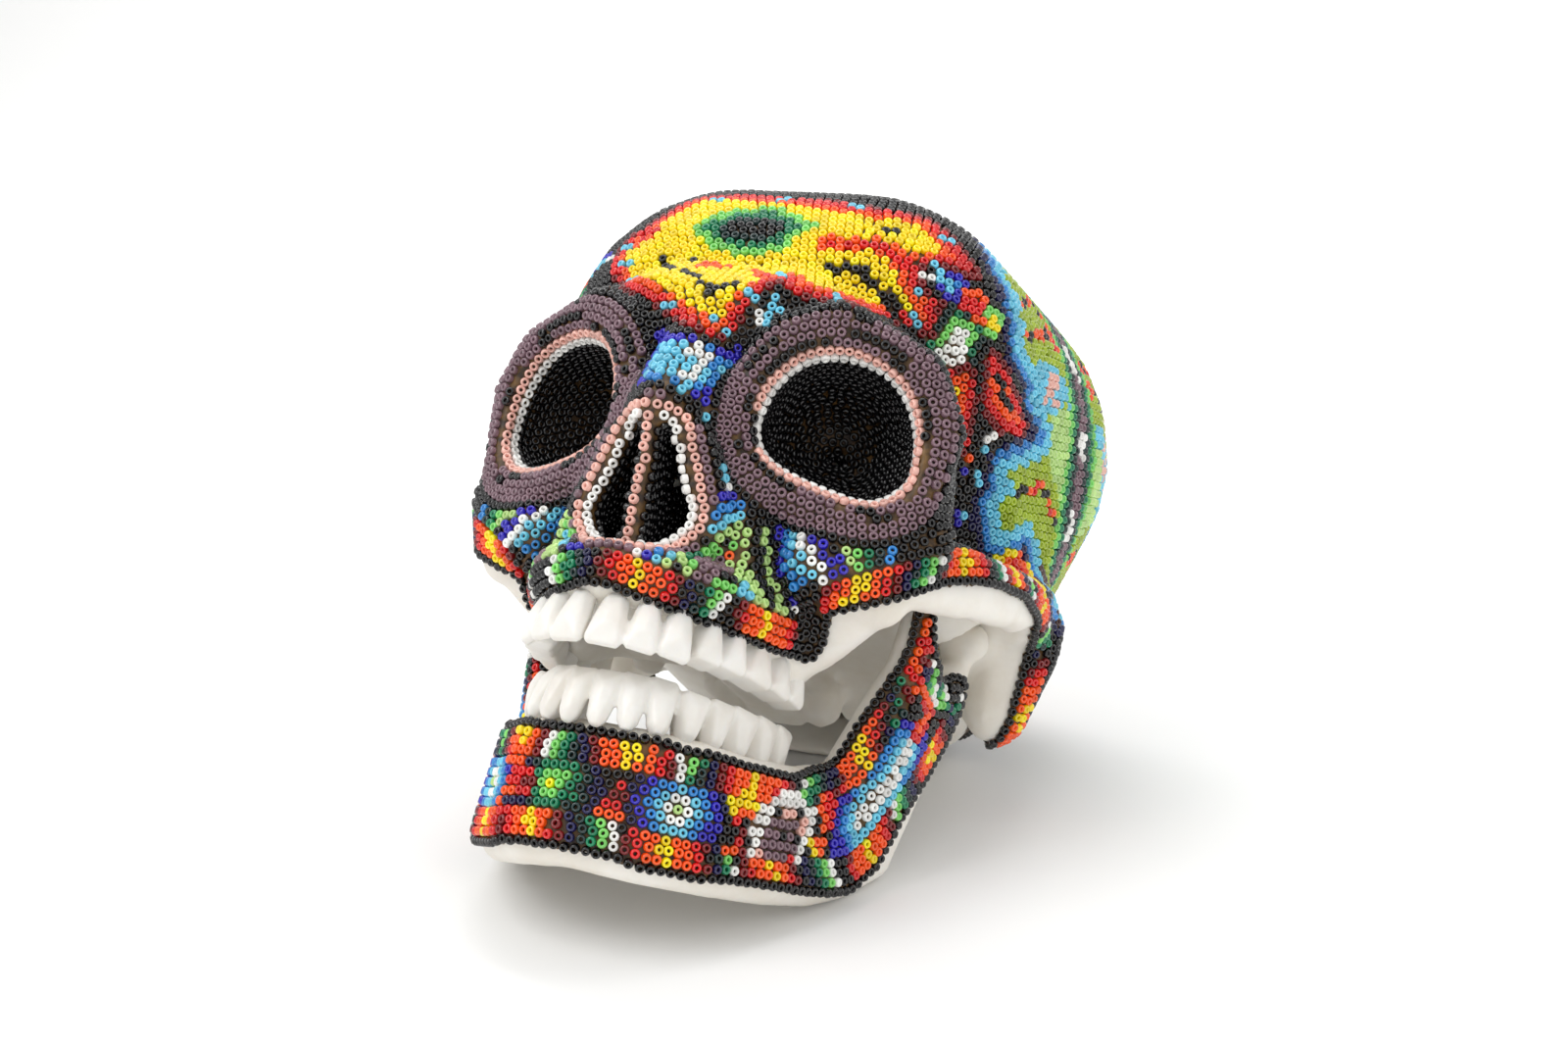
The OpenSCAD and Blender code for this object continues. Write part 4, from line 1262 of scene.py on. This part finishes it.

# ---- Hinge metal -------------------------------------------------------------------------
# Ground steel pins turning in brass bushes, both with a fine speckle in their tone.


def turned_metal(name, colour, roughness):
    material, shader = new_material(name)
    coords = add_node(material, "TexCoord").outputs["Object"]
    marks = add_node(material, "TexNoise", Vector=coords, Scale=1800.0, Detail=3.0)
    tone = add_node(material, "ValToRGB", Fac=marks.outputs["Fac"])
    bright = linear(colour)
    tone.color_ramp.elements[0].color = tuple(0.8 * c for c in bright[:3]) + (1,)
    tone.color_ramp.elements[1].color = bright
    material.node_tree.links.new(tone.outputs["Color"], shader.inputs["Base Color"])
    shader.inputs["Metallic"].default_value = 1.0
    shader.inputs["Roughness"].default_value = roughness
    return material


steel = turned_metal("ground_steel", "#c9ccd0", 0.28)
brass = turned_metal("turned_brass", "#d9b566", 0.32)
for side in ("left", "right"):
    for node, metal in (("hinge_pin_", steel), ("hinge_bush_", brass)):
        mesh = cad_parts[node + side].data
        mesh.materials.clear()
        mesh.materials.append(metal)

# ---- Camera, table and light -------------------------------------------------------------
# Seen from the front left, a little above, on a white table under broad soft light.

camera = add_piece("camera", bpy.data.cameras.new("camera"))
camera.location = (0.2301, -0.4996, 0.1991)
toward = Vector((-0.400, 0.888, -0.226))
camera.rotation_euler = toward.to_track_quat("-Z", "Y").to_euler()
camera.data.lens, camera.data.sensor_width = 54.0, 36
camera.data.clip_start = 0.01
bpy.context.scene.camera = camera


def lamp(name, spot, aim, size, power):
    data = bpy.data.lights.new(name, "AREA")
    data.shape, data.size, data.energy = "SQUARE", size, power
    made = add_piece(name, data)
    made.location = spot
    made.rotation_euler = (Vector(aim) - Vector(spot)).to_track_quat("-Z", "Y").to_euler()


# Each lamp: where it stands, what it is turned to, its side in metres and its power in watts
MIDDLE = (0, 0, 0.08)
lamp("key", (-0.5, -0.6, 1.0), MIDDLE, 0.7, 5.5)
lamp("fill", (0.9, -0.7, 0.6), MIDDLE, 0.9, 1.5)
lamp("backdrop", (-0.3, 0.6, 1.4), (0.3, 2.2, 0.3), 1.4, 22)
world = bpy.data.worlds.new("studio")
bpy.context.scene.world = world
world.use_nodes = True
sky = world.node_tree.nodes["Background"].inputs
sky["Color"].default_value, sky["Strength"].default_value = (1, 1, 1, 1), 0.76
bpy.context.scene.view_settings.view_transform = "Standard"

# The table top runs back flat, curves up and stands behind as the backdrop: (y, z)
BEND_FROM, BEND = 1.0, 1.2
SWEEP = ([(-3, 0), (BEND_FROM, 0)]
         + [(BEND_FROM + BEND * math.sin(a), BEND - BEND * math.cos(a))
            for a in np.radians(range(5, 91, 5))] + [(BEND_FROM + BEND, 4)])
floor_mesh = bpy.data.meshes.new("table")
floor_mesh.from_pydata([(x, y, z) for y, z in SWEEP for x in (-4, 4)], [],
                       [(2 * k, 2 * k + 1, 2 * k + 3, 2 * k + 2) for k in range(len(SWEEP) - 1)])
floor_mesh.polygons.foreach_set("use_smooth", [True] * (len(SWEEP) - 1))
table = add_piece("table", floor_mesh)
paper, shader = new_material("white_paper")
shader.inputs["Base Color"].default_value = linear("#f6f6f5")
shader.inputs["Roughness"].default_value = 0.8
floor_mesh.materials.append(paper)
